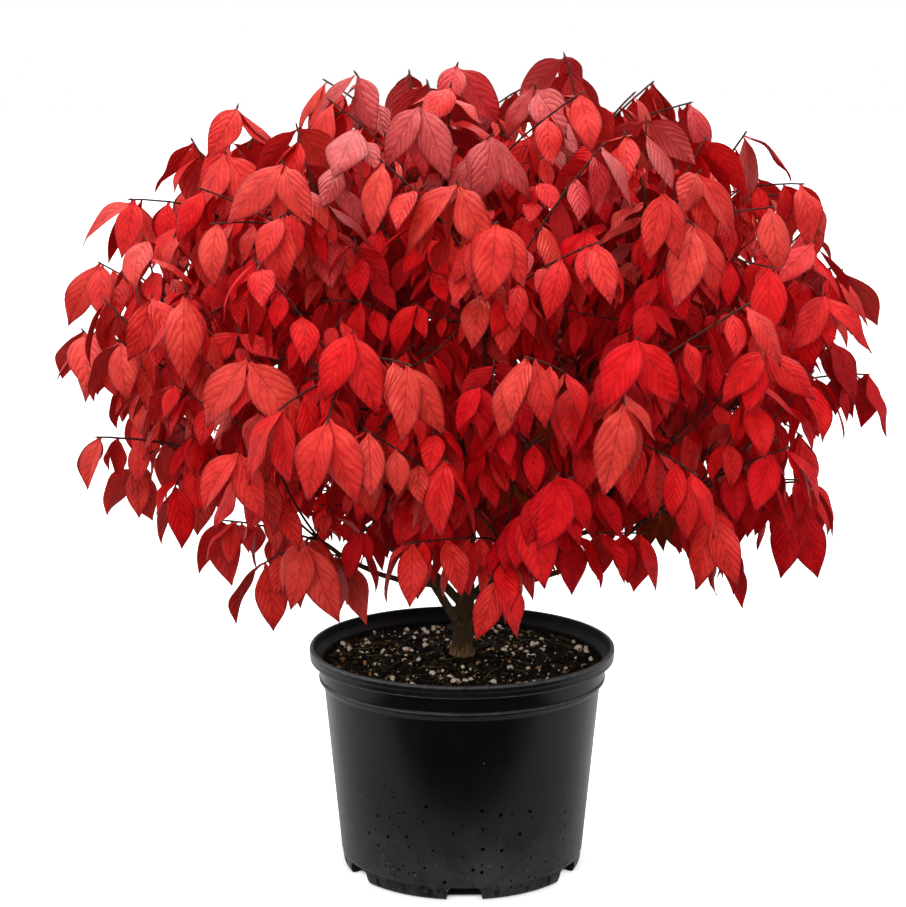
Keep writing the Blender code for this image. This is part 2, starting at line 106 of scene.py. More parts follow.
# Sprays that the photograph shows: the bearing from the front, the slope from the crown's centre
# and how far out they end; the other front shoots end behind them
SEEN_SPRAYS = (
    (-88, 51, 0.99), (-93, 42, 0.98), (-86, 30, 0.98), (-92, 19, 0.98), (-84, 10, 0.97),
    (-90, -7, 0.98), (-87, -18, 1.00), (-70, -23, 1.02), (-52, -29, 1.18), (90, 75, 1.02),
    (86, 62, 0.95), (94, 53, 0.98), (88, 44, 0.98), (84, 33, 0.98), (93, 18, 0.97), (87, 3, 0.98),
    (91, -15, 1.06), (66, -26, 1.15), (-90, 70, 0.98), (-60, 87, 0.98), (-11, 70, 0.95),
    (-14, 55, 0.98), (-25, 48, 0.98), (-17, 41, 0.98), (-3, 37, 0.98), (3, 30, 1.00),
    (33, 59, 0.98), (25, 44, 0.98), (30, 34, 1.00), (42, 38, 0.98), (54, 31, 0.98),
    (18, 28, 0.96), (-31, 24, 1.00), (-43, 19, 0.98), (-36, 40, 0.98), (-31, 31, 0.97),
    (-16, 16, 0.97), (-8, 12, 1.00), (6, 13, 1.00), (21, 15, 0.98), (38, 18, 1.00), (18, 7, 1.00),
    (-18, 5, 1.00), (-25, 6, 0.98), (-31, 12, 0.96), (-32, 0, 0.96), (-14, 4, 0.96),
    (30, -3, 0.95), (9, -9, 0.84), (-11, -16, 0.96), (4, -23, 1.12), (34, -19, 0.94),
    (-35, -22, 1.00), (-44, -37, 1.10), (12, -3, 0.86), (-4, -1, 0.86),
)
UNSEEN_REACH = 0.94

# Gaps in the crown's outline as seen from the front: the bearing, the lowest and highest slope,
# and how far out the shoots end there
GAPS = ((-90.0, -5.0, 8.0, 0.85), (90.0, 5.5, 13.0, 0.90), (90.0, -10.0, 0.0, 0.83))
GAP_WIDTH = 26.0

# The crown's low sides let more light through: one shoot in so many is left out there
THIN_BELOW = 6.0
THIN_BEYOND = 28.0
THIN_EVERY = {"shoot": 3, "fine": 2}

# Tiers of foliage: how many masses, the first one's bearing from the front, and their height
# as an angle at the crown's centre, both in degrees
SECTORS = 8
TIERS = {
    "skirt": (SECTORS, 4.0, -8.0),
    "mid": (SECTORS, 26.5, 14.0),
    "high": (SECTORS, 4.0, 39.0),
    "top": (3, -40.0, 67.0),
}

# Trunk: a short foot with a root flare, from the soil to the highest fork
SOIL_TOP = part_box("soil")[1].z
SEAT = 0.0003
TRUNK_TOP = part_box("trunk")[1].z
TRUNK_LEAN = Vector((0.004, -0.002, 0))
TRUNK_RADII = (0.0124, 0.0100, 0.0092, 0.0086, 0.0074)
TRUNK_STEPS = (0.0, 0.12, 0.3, 0.6, 1.0)
LOW_FORK = 0.218
HIGH_FORK = 0.242

# Limbs: where each leaves its parent, how far it goes to the foliage, its slope there and its radii
STEM_SLOPE = 46.0
STEM_GATE = 0.56
STEM_RADII = (0.0042, 0.0024)
SKIRT_FORK = 0.24
SKIRT_SLOPE = 12.0
MID_FORK = 0.46
MID_SLOPE = 24.0
BOUGH_GATE = 0.50
BOUGH_RADII = (0.0028, 0.0020)
LEADER_RADII = (0.0056, 0.0024)
LEADER_GATE = 0.60
LEADER_SUNK = 0.006
LEADER_SLOPE = 88.0
TOP_FORK = 0.55
TOP_FORK_STEP = 0.12
TOP_SLOPE = 62.0
LIMB_POINTS = 5
LIMB_BEND = 0.5
LIMB_SIDES = 4
LIMB_STEP = 0.005
TRUNK_STEP = 0.003

# Twigs: the leading twig of each mass, side twigs to its shoots, and finer ones off those
LEAD_RADII = (0.0020, 0.0009)
TWIG_RADII = (0.0011, 0.0008)
FINE_RADII = (0.0008, 0.0006)
TWIG_FORKS = (0.08, 0.80)
TWIG_FORK_BACK = 1.15
TWIG_BEND = 0.45
TWIG_STEP = 0.009
FINE_FORKS = (0.25, 0.38, 0.51, 0.64, 0.77, 0.90)
KINK = 0.0006

# Leaves
LEAF_LENGTH = 0.060
LEAF_WIDTH = 0.0282
PETIOLE = 0.05
PETIOLE_WIDTH = 0.05
BASE_FULLNESS = 0.90
TIP_DRAWN_OUT = 1.22
WIDEST_AT = BASE_FULLNESS / (BASE_FULLNESS + TIP_DRAWN_OUT)
LEAF_ROWS = 12
LEAF_COLUMNS = 4
LEAF_SIZES = {"end": (0.94, 1.24), "shoot": (0.68, 1.02), "fine": (0.50, 0.86)}
LEAF_WIDTHS = (0.90, 1.12)
LEAF_TRIES = {"end": 16, "shoot": 9, "fine": 5}

# Leaf pairs: how many a twig bears, how far back from its end each stands, and how far round it
PAIRS = {"shoot": 6, "fine": 3}
NODES = (0.002, 0.012, 0.031, 0.051, 0.073, 0.097)
NODE_PLAY = 0.005
PAIR_STEP = 0.0015
FIRST_PAIRS = {"shoot": (0, 0, 0, 90), "fine": (0, 90)}
FIRST_TURN = 25
LEAF_TURN = {"end": 8, "shoot": 20, "fine": 20}
TRY_TURN = 8
TRY_SHRINK = 0.04
SIDE_SHRINK = 0.14

# Which way a leaf points: out to its side, ahead along the shoot, and down, for the end pair and for
# the pairs behind it
LEAF_SPREAD = ((0.28, 0.54), (0.22, 0.66))
TRY_SPREAD = 0.04
UPWARD_SPREAD = 0.36
LEAF_AHEAD = ((0.14, 0.44), (0.05, 0.40))
LEAF_DROP = ((1.05, 1.60), (0.95, 1.60))
UPWARD_DROP = 0.36
LEAN_BACK = 0.3
SIDESTEP = 0.7

# Which way a leaf faces: out along the shoot, to its own side, and up; an end pair leans to one side,
# so that one leaf lies over the other, unless its shoot runs sideways
FACES_OUT = ((0.80, 1.10), (0.20, 0.70))
FACES_SIDE = ((0.00, 0.16), (0.60, 1.15))
PAIR_LEAN = (0.08, 0.40)
SIDEWAYS = 0.72
FACES_UP = 0.45

# A leaf's own shape: its arch in radians, how its halves rise from the midrib and droop to the
# margin, its twist in radians, the waves of its margin and how far its tip sways aside
LEAF_ARCH = (0.30, 1.00)
LEAF_RISE = (0.22, 0.62)
LEAF_DROOP = (0.20, 0.60)
LEAF_TWIST = 0.26
LEAF_WAVE = 0.08
LEAF_SWAY = 0.07

# Autumn tints, from the brightest to the deepest; dealt by place, the pale ones on top also carry painted sheen and the
# deep ones inside and low on the right painted shade
TINTS = {
    "coral": (0.620, 0.046, 0.048),
    "rose": (0.680, 0.024, 0.030),
    "orange": (0.810, 0.036, 0.026),
    "flame": (0.820, 0.023, 0.019),
    "scarlet": (0.830, 0.013, 0.015),
    "red": (0.850, 0.006, 0.009),
    "crimson": (0.820, 0.003, 0.009),
    "wine": (0.660, 0.004, 0.009),
    "garnet": (0.490, 0.004, 0.008),
    "bronze": (0.300, 0.040, 0.010),
}
TOP_TINTS = 2

# How much a leaf shines, from the brightest tint to the deepest
LEAF_SHINE = (0.34, 0.04)


# Small helpers


def bearing(degrees, slope=0.0):
    """A unit vector at a bearing from the front, rising at a slope, both in degrees."""
    turn, rise = math.radians(degrees), math.radians(slope)
    return Vector((math.sin(turn) * math.cos(rise), -math.cos(turn) * math.cos(rise), math.sin(rise)))


def curve_points(start, control, end, count):
    """Points along a quadratic curve."""
    steps = (i / (count - 1) for i in range(count))
    return [start * (1 - t) ** 2 + control * (2 * t * (1 - t)) + end * t**2 for t in steps]


def spread_evenly(first, last, count):
    return [first + (last - first) * i / (count - 1) for i in range(count)]


def point_along(points, share):
    """The point at a share of a route, and the heading there."""
    place = max(0.0, min(share, 0.999)) * (len(points) - 1)
    i = int(place)
    return points[i].lerp(points[i + 1], place - i), (points[i + 1] - points[i]).normalized()


def length_of(points):
    return sum((b - a).length for a, b in zip(points, points[1:]))


def show(name, mesh, look, nodes=()):
    """A finished piece of the plant or pot, which rides with it and stands for these nodes."""
    piece = bpy.data.objects.new(name, mesh)
    bpy.context.scene.collection.objects.link(piece)
    mesh.materials.clear()
    mesh.materials.append(look)
    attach(piece, BODY)
    if nodes:
        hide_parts(*nodes)
    return piece


def joined_mesh(name, verts, faces):
    """Many copies of one small shape as one mesh; verts is copies by points by three."""
    copies, points, _ = verts.shape
    every = np.array(faces)[None] + np.arange(copies)[:, None, None] * points
    mesh = bpy.data.meshes.new(name)
    mesh.from_pydata(verts.reshape(-1, 3).tolist(), [], every.reshape(-1, len(faces[0])).tolist())
    mesh.shade_smooth()
    return mesh


def template(bm):
    """A bmesh's points and faces as arrays."""
    bm.verts.index_update()
    points = np.array([vert.co for vert in bm.verts])
    faces = [[vert.index for vert in face.verts] for face in bm.faces]
    bm.free()
    return points, faces


def scattered(name, shape, frames):
    """One small shape repeated at each of these matrices."""
    points, faces = shape
    frames = np.array([[*map(tuple, frame)] for frame in frames])
    verts = points @ frames[:, :3, :3].transpose(0, 2, 1) + frames[:, None, :3, 3]
    return joined_mesh(name, verts, faces)


# Crown, by the same rule as the solids


def crown_radius(away):
    """How far the crown reaches from its centre in a direction."""
    level = math.hypot(away.x, away.y) / away.length
    tilt = away.z / away.length
    height = CROWN_RISE if tilt > 0 else CROWN_DROP
    total = (level / CROWN_REACH) ** CROWN_FULLNESS + (abs(tilt) / height) ** CROWN_FULLNESS
    return total ** (-1 / CROWN_FULLNESS)


def on_crown(away, share=1.0):
    """The point of the crown's surface in a direction from its centre."""
    return CROWN_CENTRE + away.normalized() * crown_radius(away) * share


def even_slopes(count, lowest):
    """Slopes from the lowest shoot's to upright, with equal areas of crown between them."""
    slopes = spread_evenly(lowest, 90.0, SLOPE_STEPS)
    places = [on_crown(bearing(0, slope)) - CROWN_CENTRE for slope in slopes]
    areas = [0.0]
    for low, high in zip(places, places[1:]):
        areas.append(areas[-1] + (high - low).length * abs(low.y + high.y))
    wanted = [areas[-1] * (i + 0.5) / count for i in range(count)]
    return [float(slope) for slope in np.interp(wanted, areas, slopes)]


def plan_shoots(count, lowest, reach, seed, low_share=1.0):
    """Where shoots end, spread evenly over the crown with some play; low ones may end deeper."""
    rng = random.Random(seed)
    golden = 180 * (3 - math.sqrt(5))
    ends = []
    for i, slope in enumerate(even_slopes(count, lowest)):
        share = rng.uniform(*reach) * (low_share if slope < 0 else 1)
        end = on_crown(bearing(golden * i, slope), share)
        ends.append(end + Vector([rng.uniform(-SHOOT_PLAY, SHOOT_PLAY) for _ in range(3)]))
    return ends


class Limb:
    """One tapering limb along a curve, which starts inside its parent."""

    def __init__(self, name, curve, radii):
        self.name = name
        self.curve = curve
        self.radii = radii
        self.route = curve_points(*curve, LIMB_POINTS)

    def heading(self):
        return (self.route[-1] - self.route[-2]).normalized()


class Mass:
    """One mass of foliage: it takes over from a limb's end and leads out to the shoots it feeds."""

    def __init__(self, tier, number, tip):
        self.tier = tier
        self.name = f"foliage_{tier}_{number}"
        self.tip = tip
        self.limb = None
        self.shoots = []
        self.fine_shoots = []
        self.twigs = []

    def gap_to(self, end):
        return min((tip - end).length for tip in [self.tip, *self.shoots])


class Twig:
    """A twig's route, its radii, and whether it is a shoot or a fine one."""

    def __init__(self, kind, curve, radii):
        count = max(3, round((curve[2] - curve[0]).length / TWIG_STEP))
        self.kind = kind
        self.route = curve_points(*curve, count)
        self.radii = spread_evenly(*radii, count)
        self.length = length_of(self.route)


def grown_limb(name, start, target, gate, slope, radii):
    """A limb from a point on its parent, first at a slope and then curving towards its target."""
    way = target - start
    level = Vector((way.x, way.y, 0)).normalized()
    rise = math.radians(slope)
    heading = level * math.cos(rise) + UP * math.sin(rise)
    control = start + heading * (way.length * gate * LIMB_BEND)
    return Limb(name, (start, control, start + way * gate), radii)


def plan_masses(shoots, fine_shoots):
    """The masses of each tier, each led by the shoot nearest its place, and the shoots each feeds."""
    masses, free = {}, list(shoots)
    for tier, (count, first, slope) in TIERS.items():
        for i in range(count):
            place = on_crown(bearing(first + 360 * i / count, slope))
            tip = min(free, key=lambda end: (end - place).length)
            free.remove(tip)
            masses[tier, i] = Mass(tier, i + 1, tip)
    for end in free:
        nearest = min(masses.values(), key=lambda mass: (mass.tip - end).length)
        nearest.shoots.append(end)
    for end in fine_shoots:
        nearest = min(masses.values(), key=lambda mass: mass.gap_to(end))
        nearest.fine_shoots.append(end)
    return masses


def plan_limbs(masses):
    """A stem for each sector with a bough to each lower tier, and a leader in the middle."""
    limbs = []

    def add(mass, *how):
        mass.limb = grown_limb(*how)
        limbs.append(mass.limb)
        return mass.limb

    for i in range(SECTORS):
        start = Vector((0, 0, LOW_FORK if i % 2 else HIGH_FORK)) + TRUNK_LEAN * 0.5
        mass = masses["high", i]
        stem = add(mass, f"stem_{i + 1}", start, mass.tip, STEM_GATE, STEM_SLOPE, STEM_RADII)
        for tier, share, slope in (("skirt", SKIRT_FORK, SKIRT_SLOPE), ("mid", MID_FORK, MID_SLOPE)):
            fork, _ = point_along(stem.route, share)
            mass = masses[tier, i]
            add(mass, f"bough_{tier}_{i + 1}", fork, mass.tip, BOUGH_GATE, slope, BOUGH_RADII)
    mass = masses["top", 0]
    start = Vector((0, 0, TRUNK_TOP - LEADER_SUNK)) + TRUNK_LEAN
    leader = add(mass, "leader", start, mass.tip, LEADER_GATE, LEADER_SLOPE, LEADER_RADII)
    for i in range(1, TIERS["top"][0]):
        fork, _ = point_along(leader.route, TOP_FORK + TOP_FORK_STEP * i)
        mass = masses["top", i]
        add(mass, f"bough_top_{i}", fork, mass.tip, BOUGH_GATE, TOP_SLOPE, BOUGH_RADII)
    return limbs


def plan_twigs(mass):
    """A mass's leading twig, a side twig to each shoot, and the finer ones that fork off those."""
    gate = mass.limb.route[-1]
    reach = (mass.tip - gate).length
    control = gate + mass.limb.heading() * reach * TWIG_BEND
    lead = Twig("shoot", (gate, control, mass.tip), LEAD_RADII)
    mass.twigs.append(lead)
    for end in mass.shoots:
        if is_open(end):
            continue
        low, high = TWIG_FORKS
        share = 1 - TWIG_FORK_BACK * (end - mass.tip).length / lead.length
        start, heading = point_along(lead.route, max(low, min(high, share)))
        mass.twigs.append(side_twig("shoot", start, heading, end, TWIG_RADII))
    for end in mass.fine_shoots:
        forks = [point_along(twig.route, share) for twig in mass.twigs for share in FINE_FORKS]
        start, heading = min(forks, key=lambda fork: fork_cost(*fork, end))
        mass.twigs.append(side_twig("fine", start, heading, end, FINE_RADII))


def angles_of(end):
    """A shoot end's bearing from the front and its slope, seen from the crown's centre."""
    away = end - CROWN_CENTRE
    turn = math.degrees(math.atan2(away.x, -away.y))
    return turn, math.degrees(math.atan2(away.z, math.hypot(away.x, away.y)))


def is_open(end):
    """Whether a shoot would end at a place where the crown is open."""
    turn, slope = angles_of(end)
    return any(math.hypot(turn - at, slope - rise) < OPEN_WIDTH for at, rise in OPEN_PLACES)


def gap_reach(end):
    """How far out a shoot may end in its direction, as a share of the crown's reach."""
    turn, slope = angles_of(end)
    for at, low, high, reach in GAPS:
        if abs((turn - at + 180) % 360 - 180) < GAP_WIDTH and low < slope < high:
            return reach
    return 1.0


def draw_in(end, limit):
    """Brings a shoot's end in to a limit, and lets it sag."""
    away = end - CROWN_CENTRE
    end[:] = CROWN_CENTRE + away * min(1.0, limit * crown_radius(away) / away.length)
    end[:] = sagged(end)


def is_thin(end, number, every):
    """Whether a shoot is one of those left out where the crown's low sides let light through."""
    turn, slope = angles_of(end)
    return slope < THIN_BELOW and abs(turn) > THIN_BEYOND and number % every == 0


def settle(masses):
    """Brings the nearest shoot to each spray that the photograph shows, and the rest to rest."""
    free = [end for mass in masses.values() for end in (mass.tip, *mass.shoots)]
    for turn, slope, reach in SEEN_SPRAYS:
        place = on_crown(bearing(turn, slope), reach)
        nearest = min(free, key=lambda end: (end - place).length)
        free = [end for end in free if end is not nearest]
        nearest[:] = place
    for end in free:
        draw_in(end, min(gap_reach(end), UNSEEN_REACH if end.y < 0 else 1.0))
    left_out = [end for i, end in enumerate(free) if is_thin(end, i, THIN_EVERY["shoot"])]
    for mass in masses.values():
        mass.shoots = [end for end in mass.shoots if not any(end is other for other in left_out)]
        mass.fine_shoots = [end for i, end in enumerate(mass.fine_shoots) if not is_thin(end, i, THIN_EVERY["fine"])]
        for end in mass.fine_shoots:
            draw_in(end, gap_reach(end))


def sagged(end):
    """Where a shoot's end comes to rest under its leaves."""
    away = math.hypot(end.x - CROWN_CENTRE.x, end.y - CROWN_CENTRE.y)
    low = max(0.0, min(1.0, (CROWN_CENTRE.z - end.z) / CROWN_DROP * 1.4))
    near = max(0.0, min(1.0, (SAG_REACH - away) / SAG_FADE))
    return end - UP * SAG * low * near


def fork_cost(start, heading, end):
    """A finer twig leaves where it is short and doesn't turn back."""
    way = end - start
    return way.length * (1.6 - heading.dot(way.normalized()))


def side_twig(kind, start, heading, end, radii):
    way = end - start
    bend = start + (heading + way.normalized()).normalized() * way.length * TWIG_BEND
    return Twig(kind, (start, bend, end), radii)


# Limbs and twigs as tapering tubes


def tube_mesh(name, routes, rounding):
    """Tapering tubes along routes of (point, radius), with their ends filled, as one mesh."""
    curve = bpy.data.curves.new(name, "CURVE")
    curve.dimensions = "3D"
    curve.bevel_depth = 1.0
    curve.bevel_resolution = rounding
    curve.use_fill_caps = True
    for route in routes:
        spline = curve.splines.new("POLY")
        spline.points.add(len(route) - 1)
        for point, (place, radius) in zip(spline.points, route):
            point.co = (*place, 1)
            point.radius = radius
    holder = bpy.data.objects.new(name, curve)
    bpy.context.scene.collection.objects.link(holder)
    bpy.context.view_layer.update()
    mesh = bpy.data.meshes.new_from_object(holder.evaluated_get(bpy.context.evaluated_depsgraph_get()))
    bpy.data.objects.remove(holder)
    bpy.data.curves.remove(curve)
    bm = bmesh.new()
    bm.from_mesh(mesh)
    bmesh.ops.remove_doubles(bm, verts=bm.verts, dist=0.00001)
    bmesh.ops.recalc_face_normals(bm, faces=bm.faces)
    bm.to_mesh(mesh)
    bm.free()
    mesh.shade_smooth()
    return mesh


def kinked(route, radii, play, seed):
    """A route with small kinks between its ends, and its radii."""
    made = []
    for i, (place, radius) in enumerate(zip(route, radii)):
        shift = noise.noise_vector(place * 60 + Vector((seed, 0, 0))) * play
        made.append((place if i in (0, len(route) - 1) else place + shift, radius))
    return made


def roughen(mesh, coarse, fine):
    """Bark relief: long ridges that run up the wood, and small bumps."""
    normals = [vert.normal.copy() for vert in mesh.vertices]
    for vert, normal in zip(mesh.vertices, normals):
        place = vert.co
        ridge = noise.fractal(Vector((place.x * 380, place.y * 380, place.z * 60)), 1.0, 2.0, 3)
        bump = noise.noise(place * 900)
        vert.co = place + normal * (ridge * coarse + bump * fine)


def build_trunk():
    foot = Vector((0, 0, SOIL_TOP + SEAT))
    top = Vector((0, 0, TRUNK_TOP)) + TRUNK_LEAN
    count = round((top - foot).length / TRUNK_STEP)
    shares = spread_evenly(0, 1, count)
    radii = np.interp(shares, TRUNK_STEPS, TRUNK_RADII)
    route = [(foot.lerp(top, share), radius) for share, radius in zip(shares, radii)]
    mesh = tube_mesh("trunk_bark", [route], 14)
    roughen(mesh, 0.0011, 0.0003)
    # The trunk's bark is darker from just above the soil up: painted shade under the crown
    look = bark("old_bark", (0.200, 0.115, 0.048), 0.5, SOIL_TOP + 0.001)
    show("trunk_bark", mesh, look, ["trunk"])


def build_limbs(limbs):
    routes = []
    for number, limb in enumerate(limbs):
        count = round(length_of(limb.route) / LIMB_STEP)
        route, radii = curve_points(*limb.curve, count), spread_evenly(*limb.radii, count)
        routes.append(kinked(route, radii, 0.0010, number))
    mesh = tube_mesh("bough_bark", routes, LIMB_SIDES)
    roughen(mesh, 0.0004, 0.0001)
    look = bark("green_bark", (0.070, 0.045, 0.024), 0.35)
    return show("bough_bark", mesh, look, [limb.name for limb in limbs])


def build_twigs(name, twigs, look):
    routes = [kinked(twig.route, twig.radii, KINK, 7) for twig in twigs]
    return show(name, tube_mesh(name, routes, 1), look)


# Leaves


def outline(along):
    """Half the leaf's width, as a share of the widest, from its petiole to its drawn-out tip."""
    blade = np.clip((along - PETIOLE) / (1 - PETIOLE), 0, 1)
    shape = (blade / WIDEST_AT) ** BASE_FULLNESS * ((1 - blade) / (1 - WIDEST_AT)) ** TIP_DRAWN_OUT
    return np.maximum(shape, PETIOLE_WIDTH * (1 - 0.6 * along))


def leaf_template(rows, columns):
    """A leaf's place along and across, point by point, and its faces."""
    bm = bmesh.new()
    bmesh.ops.create_grid(bm, x_segments=rows, y_segments=columns, size=1)
    points, faces = template(bm)
    return (points[:, 0] + 1) / 2, points[:, 1], faces


def leaf_points(leaf, along, across):
    """A leaf's points in place: bent down along its midrib, its halves risen and drooping."""
    half = across * outline(along) * leaf["width"] / 2
    size = np.abs(across)
    lift = np.abs(half) * (leaf["rise"] - leaf["droop"] * size)
    lift = lift + leaf["wave"] * leaf["width"] * size**2 * np.sin(TURN * (1.7 * along + leaf["phase"]))
    twist = leaf["twist"] * along
    sway = leaf["sway"] * leaf["length"] * along**3
    side = half * np.cos(twist) - lift * np.sin(twist) + sway
    lift = half * np.sin(twist) + lift * np.cos(twist)
    bend = leaf["arch"] * (along - 0.5)
    middle = leaf["arch"] / 2
    ahead = (np.sin(bend) + math.sin(middle)) / leaf["arch"] * leaf["length"]
    down = (math.cos(middle) - np.cos(bend)) / leaf["arch"] * leaf["length"]
    local = np.stack([ahead + lift * np.sin(bend), side, lift * np.cos(bend) - down], axis=-1)
    return local @ leaf["frame"].T + leaf["root"]


def leaf_pose(heading, side, pair, lean, late, rng):
    """Which way a leaf points and which way it faces: it hangs out and down from its twig."""
    level = Vector((heading.x, heading.y, 0))
    level = level.normalized() if level.length > 0.01 else side
    aside = UP.cross(level)
    later = 1 if pair else 0
    out = Vector((side.x, side.y, 0)) + level * side.z * (1 if side.z > 0 else LEAN_BACK)
    if pair and side.z > 0:
        out += aside * (rng.choice((-1, 1)) * SIDESTEP * side.z)
    upward = max(0.0, heading.z) ** 2
    spread = rng.uniform(*LEAF_SPREAD[later]) + UPWARD_SPREAD * upward + TRY_SPREAD * late
    drop = rng.uniform(*LEAF_DROP[later]) * (1 - UPWARD_DROP * upward)
    points = out * spread + heading * rng.uniform(*LEAF_AHEAD[later]) - UP * drop
    points.normalize()
    later = 1 if pair or abs(level.x) > SIDEWAYS else 0
    faces = level * rng.uniform(*FACES_OUT[later]) + out * rng.uniform(*FACES_SIDE[later])
    faces += UP * FACES_UP + aside * lean
    faces -= points * faces.dot(points)
    return points, faces.normalized()


class Room:
    """What already stands in the crown, so that leaves don't cut twigs or one another."""

    def __init__(self, wood):
        self.wood = [tree_of(piece.data) for piece in wood]
        self.cells = {}

    def near(self, middle):
        cell = tuple(int(math.floor(value / LEAF_LENGTH)) for value in middle)
        steps = (-1, 0, 1)
        for x in steps:
            for y in steps:
                for z in steps:
                    yield from self.cells.get((cell[0] + x, cell[1] + y, cell[2] + z), ())

    def takes(self, tree, middle):
        if any(tree.overlap(wood) for wood in self.wood):
            return False
        return not any(tree.overlap(leaf) for leaf in self.near(middle))

    def add(self, tree, middle):
        cell = tuple(int(math.floor(value / LEAF_LENGTH)) for value in middle)
        self.cells.setdefault(cell, []).append(tree)


def tree_of(mesh):
    return BVHTree.FromPolygons([v.co for v in mesh.vertices], [p.vertices for p in mesh.polygons])


def leaf_nodes(twig, rng):
    """A twig's pairs: how far back from its end each leaf stands, its turn, its pair and its lean."""
    first = rng.choice(FIRST_PAIRS[twig.kind]) + rng.uniform(-FIRST_TURN, FIRST_TURN)
    for pair in range(PAIRS[twig.kind]):
        back = NODES[pair] + (rng.uniform(-NODE_PLAY, NODE_PLAY) if pair else 0)
        lean = 0 if pair else rng.choice((-1, 1)) * rng.uniform(*PAIR_LEAN)
        if back > twig.length:
            return
        for second in (0, 1):
            yield back + second * PAIR_STEP, first + 90 * pair + 180 * second, pair, lean


def new_leaf(node, heading, turn, pair, lean, late, size, rng):
    """A leaf's place, pose and own shape."""
    level = heading.cross(UP).normalized()
    side = Matrix.Rotation(math.radians(turn), 3, heading) @ level
    points, facing = leaf_pose(heading, side, pair, lean, late, rng)
    return {
        "root": np.array(node),
        "frame": np.array(Matrix((points, facing.cross(points), facing)).transposed()),
        "length": LEAF_LENGTH * size,
        "width": LEAF_WIDTH * size * rng.uniform(*LEAF_WIDTHS),
        "arch": rng.uniform(*LEAF_ARCH),
        "rise": rng.uniform(*LEAF_RISE),
        "droop": rng.uniform(*LEAF_DROOP),
        "twist": rng.gauss(0, LEAF_TWIST),
        "wave": rng.uniform(0, LEAF_WAVE),
        "phase": rng.random(),
        "sway": rng.uniform(-LEAF_SWAY, LEAF_SWAY),
    }


def fitting_leaf(twig, back, turn, pair, lean, room, rng, guide):
    """A leaf in the first pose that has room, or None."""
    along, across, faces = guide
    node, heading = point_along(twig.route, 1 - back / twig.length)
    kind = "end" if twig.kind == "shoot" and pair == 0 else twig.kind
    for attempt in range(LEAF_TRIES[kind]):
        late = min(attempt, 6)
        play = rng.uniform(-1, 1) * (LEAF_TURN[kind] + TRY_TURN * late)
        size = rng.uniform(*LEAF_SIZES[kind]) - TRY_SHRINK * late
        size *= 1 - SIDE_SHRINK * abs(heading.x)
        leaf = new_leaf(node, heading, turn + play, pair, lean, late, size, rng)
        verts = leaf_points(leaf, along, across)
        tree = BVHTree.FromPolygons(verts.tolist(), faces)
        middle = verts.mean(axis=0)
        if room.takes(tree, middle):
            room.add(tree, middle)
            return leaf
    return None


def grow_leaves(twigs, room, rng, sprays):
    """Leaves on twigs, all the end pairs first, dealt out by tint."""
    guide = guide_template()
    nodes = []
    for twig in twigs:
        main = spray_tint(twig, rng)
        nodes += [(pair, twig, main, back, turn, lean) for back, turn, pair, lean in leaf_nodes(twig, rng)]
    for pair, twig, main, back, turn, lean in sorted(nodes, key=lambda node: node[0]):
        leaf = fitting_leaf(twig, back, turn, pair, lean, room, rng, guide)
        if leaf:
            sprays[leaf_tint(main, pair, rng)].append(leaf)


def runs_clear(twig, room):
    """Whether a fine twig runs clear of the leaves that stand already."""
    verts = [point for place in twig.route for point in (place, place + UP * 2 * twig.radii[0])]
    faces = [(i, i + 2, i + 3, i + 1) for i in range(0, len(verts) - 2, 2)]
    ribbon = BVHTree.FromPolygons(verts, faces)
    return not any(ribbon.overlap(leaf) for place in twig.route[::4] for leaf in room.near(place))


def guide_template():
    """A coarse leaf that starts clear of its twig, to test for room with."""
    along, across, faces = leaf_template(3, 2)
    return 0.12 + 0.88 * along, across, faces


# Tints by place in the crown, besides the autumn colour: the pale rose and coral at the top carry painted sheen, and
# the deeper ones inside and low on the right carry painted shade
TINT_ORDERS = {
    "deep": ("crimson", "red", "wine", "garnet", "scarlet", "scarlet"),
    "low": ("crimson", "red", "wine", "scarlet", "garnet", "bronze"),
    "lowest": ("wine", "crimson", "garnet", "red", "wine", "scarlet"),
    "side": ("scarlet", "red", "flame", "crimson", "orange", "scarlet"),
    "high": ("scarlet", "flame", "red", "orange", "crimson", "flame"),
    "top": ("rose", "flame", "coral", "rose", "scarlet", "red"),
}
TINT_SHARES = (5, 4, 3, 2, 1, 1)


def spray_tint(twig, rng):
    """The main autumn tint of a spray, by its height, its depth in the crown and chance; the pale tints on top are
    painted sheen, and the deeper ones inside and low on the right are painted shade.
    """
    end = twig.route[-1]
    height = (end.z - CROWN_CENTRE.z) / CROWN_RISE
    if twig.kind == "fine":
        place = "deep" if height > 0.1 else "low"
    elif height > (0.22 if end.x > 0.2 else 0.0):
        place = "top" if height > 0.75 else "high"
    else:
        place = "side" if end.x < 0.05 else "lowest"
    return rng.choices(TINT_ORDERS[place], TINT_SHARES)[0]


def leaf_tint(main, pair, rng):
    """A leaf's tint: its spray's or a near one, brighter for the end pair as painted light on the exposed leaves; only
    the top is pale, as painted sheen.
    """
    names = list(TINTS)
    if main == "bronze":
        return main
    at = names.index(main)
    first = 0 if at < TOP_TINTS else TOP_TINTS
    shift = rng.choice((-1, -1, 0)) if pair == 0 else rng.choice((-1, 0, 0, 1))
    return names[max(first, min(at + shift, len(names) - 2))]


def build_leaves(sprays):
    along, across, faces = leaf_template(LEAF_ROWS, LEAF_COLUMNS)
    masses = [f"foliage_{tier}_{i + 1}" for tier, (count, _, _) in TIERS.items() for i in range(count)]
    for tint, leaves in sprays.items():
        verts = np.array([leaf_points(leaf, along, across) for leaf in leaves])
        mesh = joined_mesh(f"leaves_{tint}", verts, faces)
        place_on_leaf(mesh, along, across, len(leaves))
        show(f"leaves_{tint}", mesh, leaf_look(tint), masses if tint == "scarlet" else ())


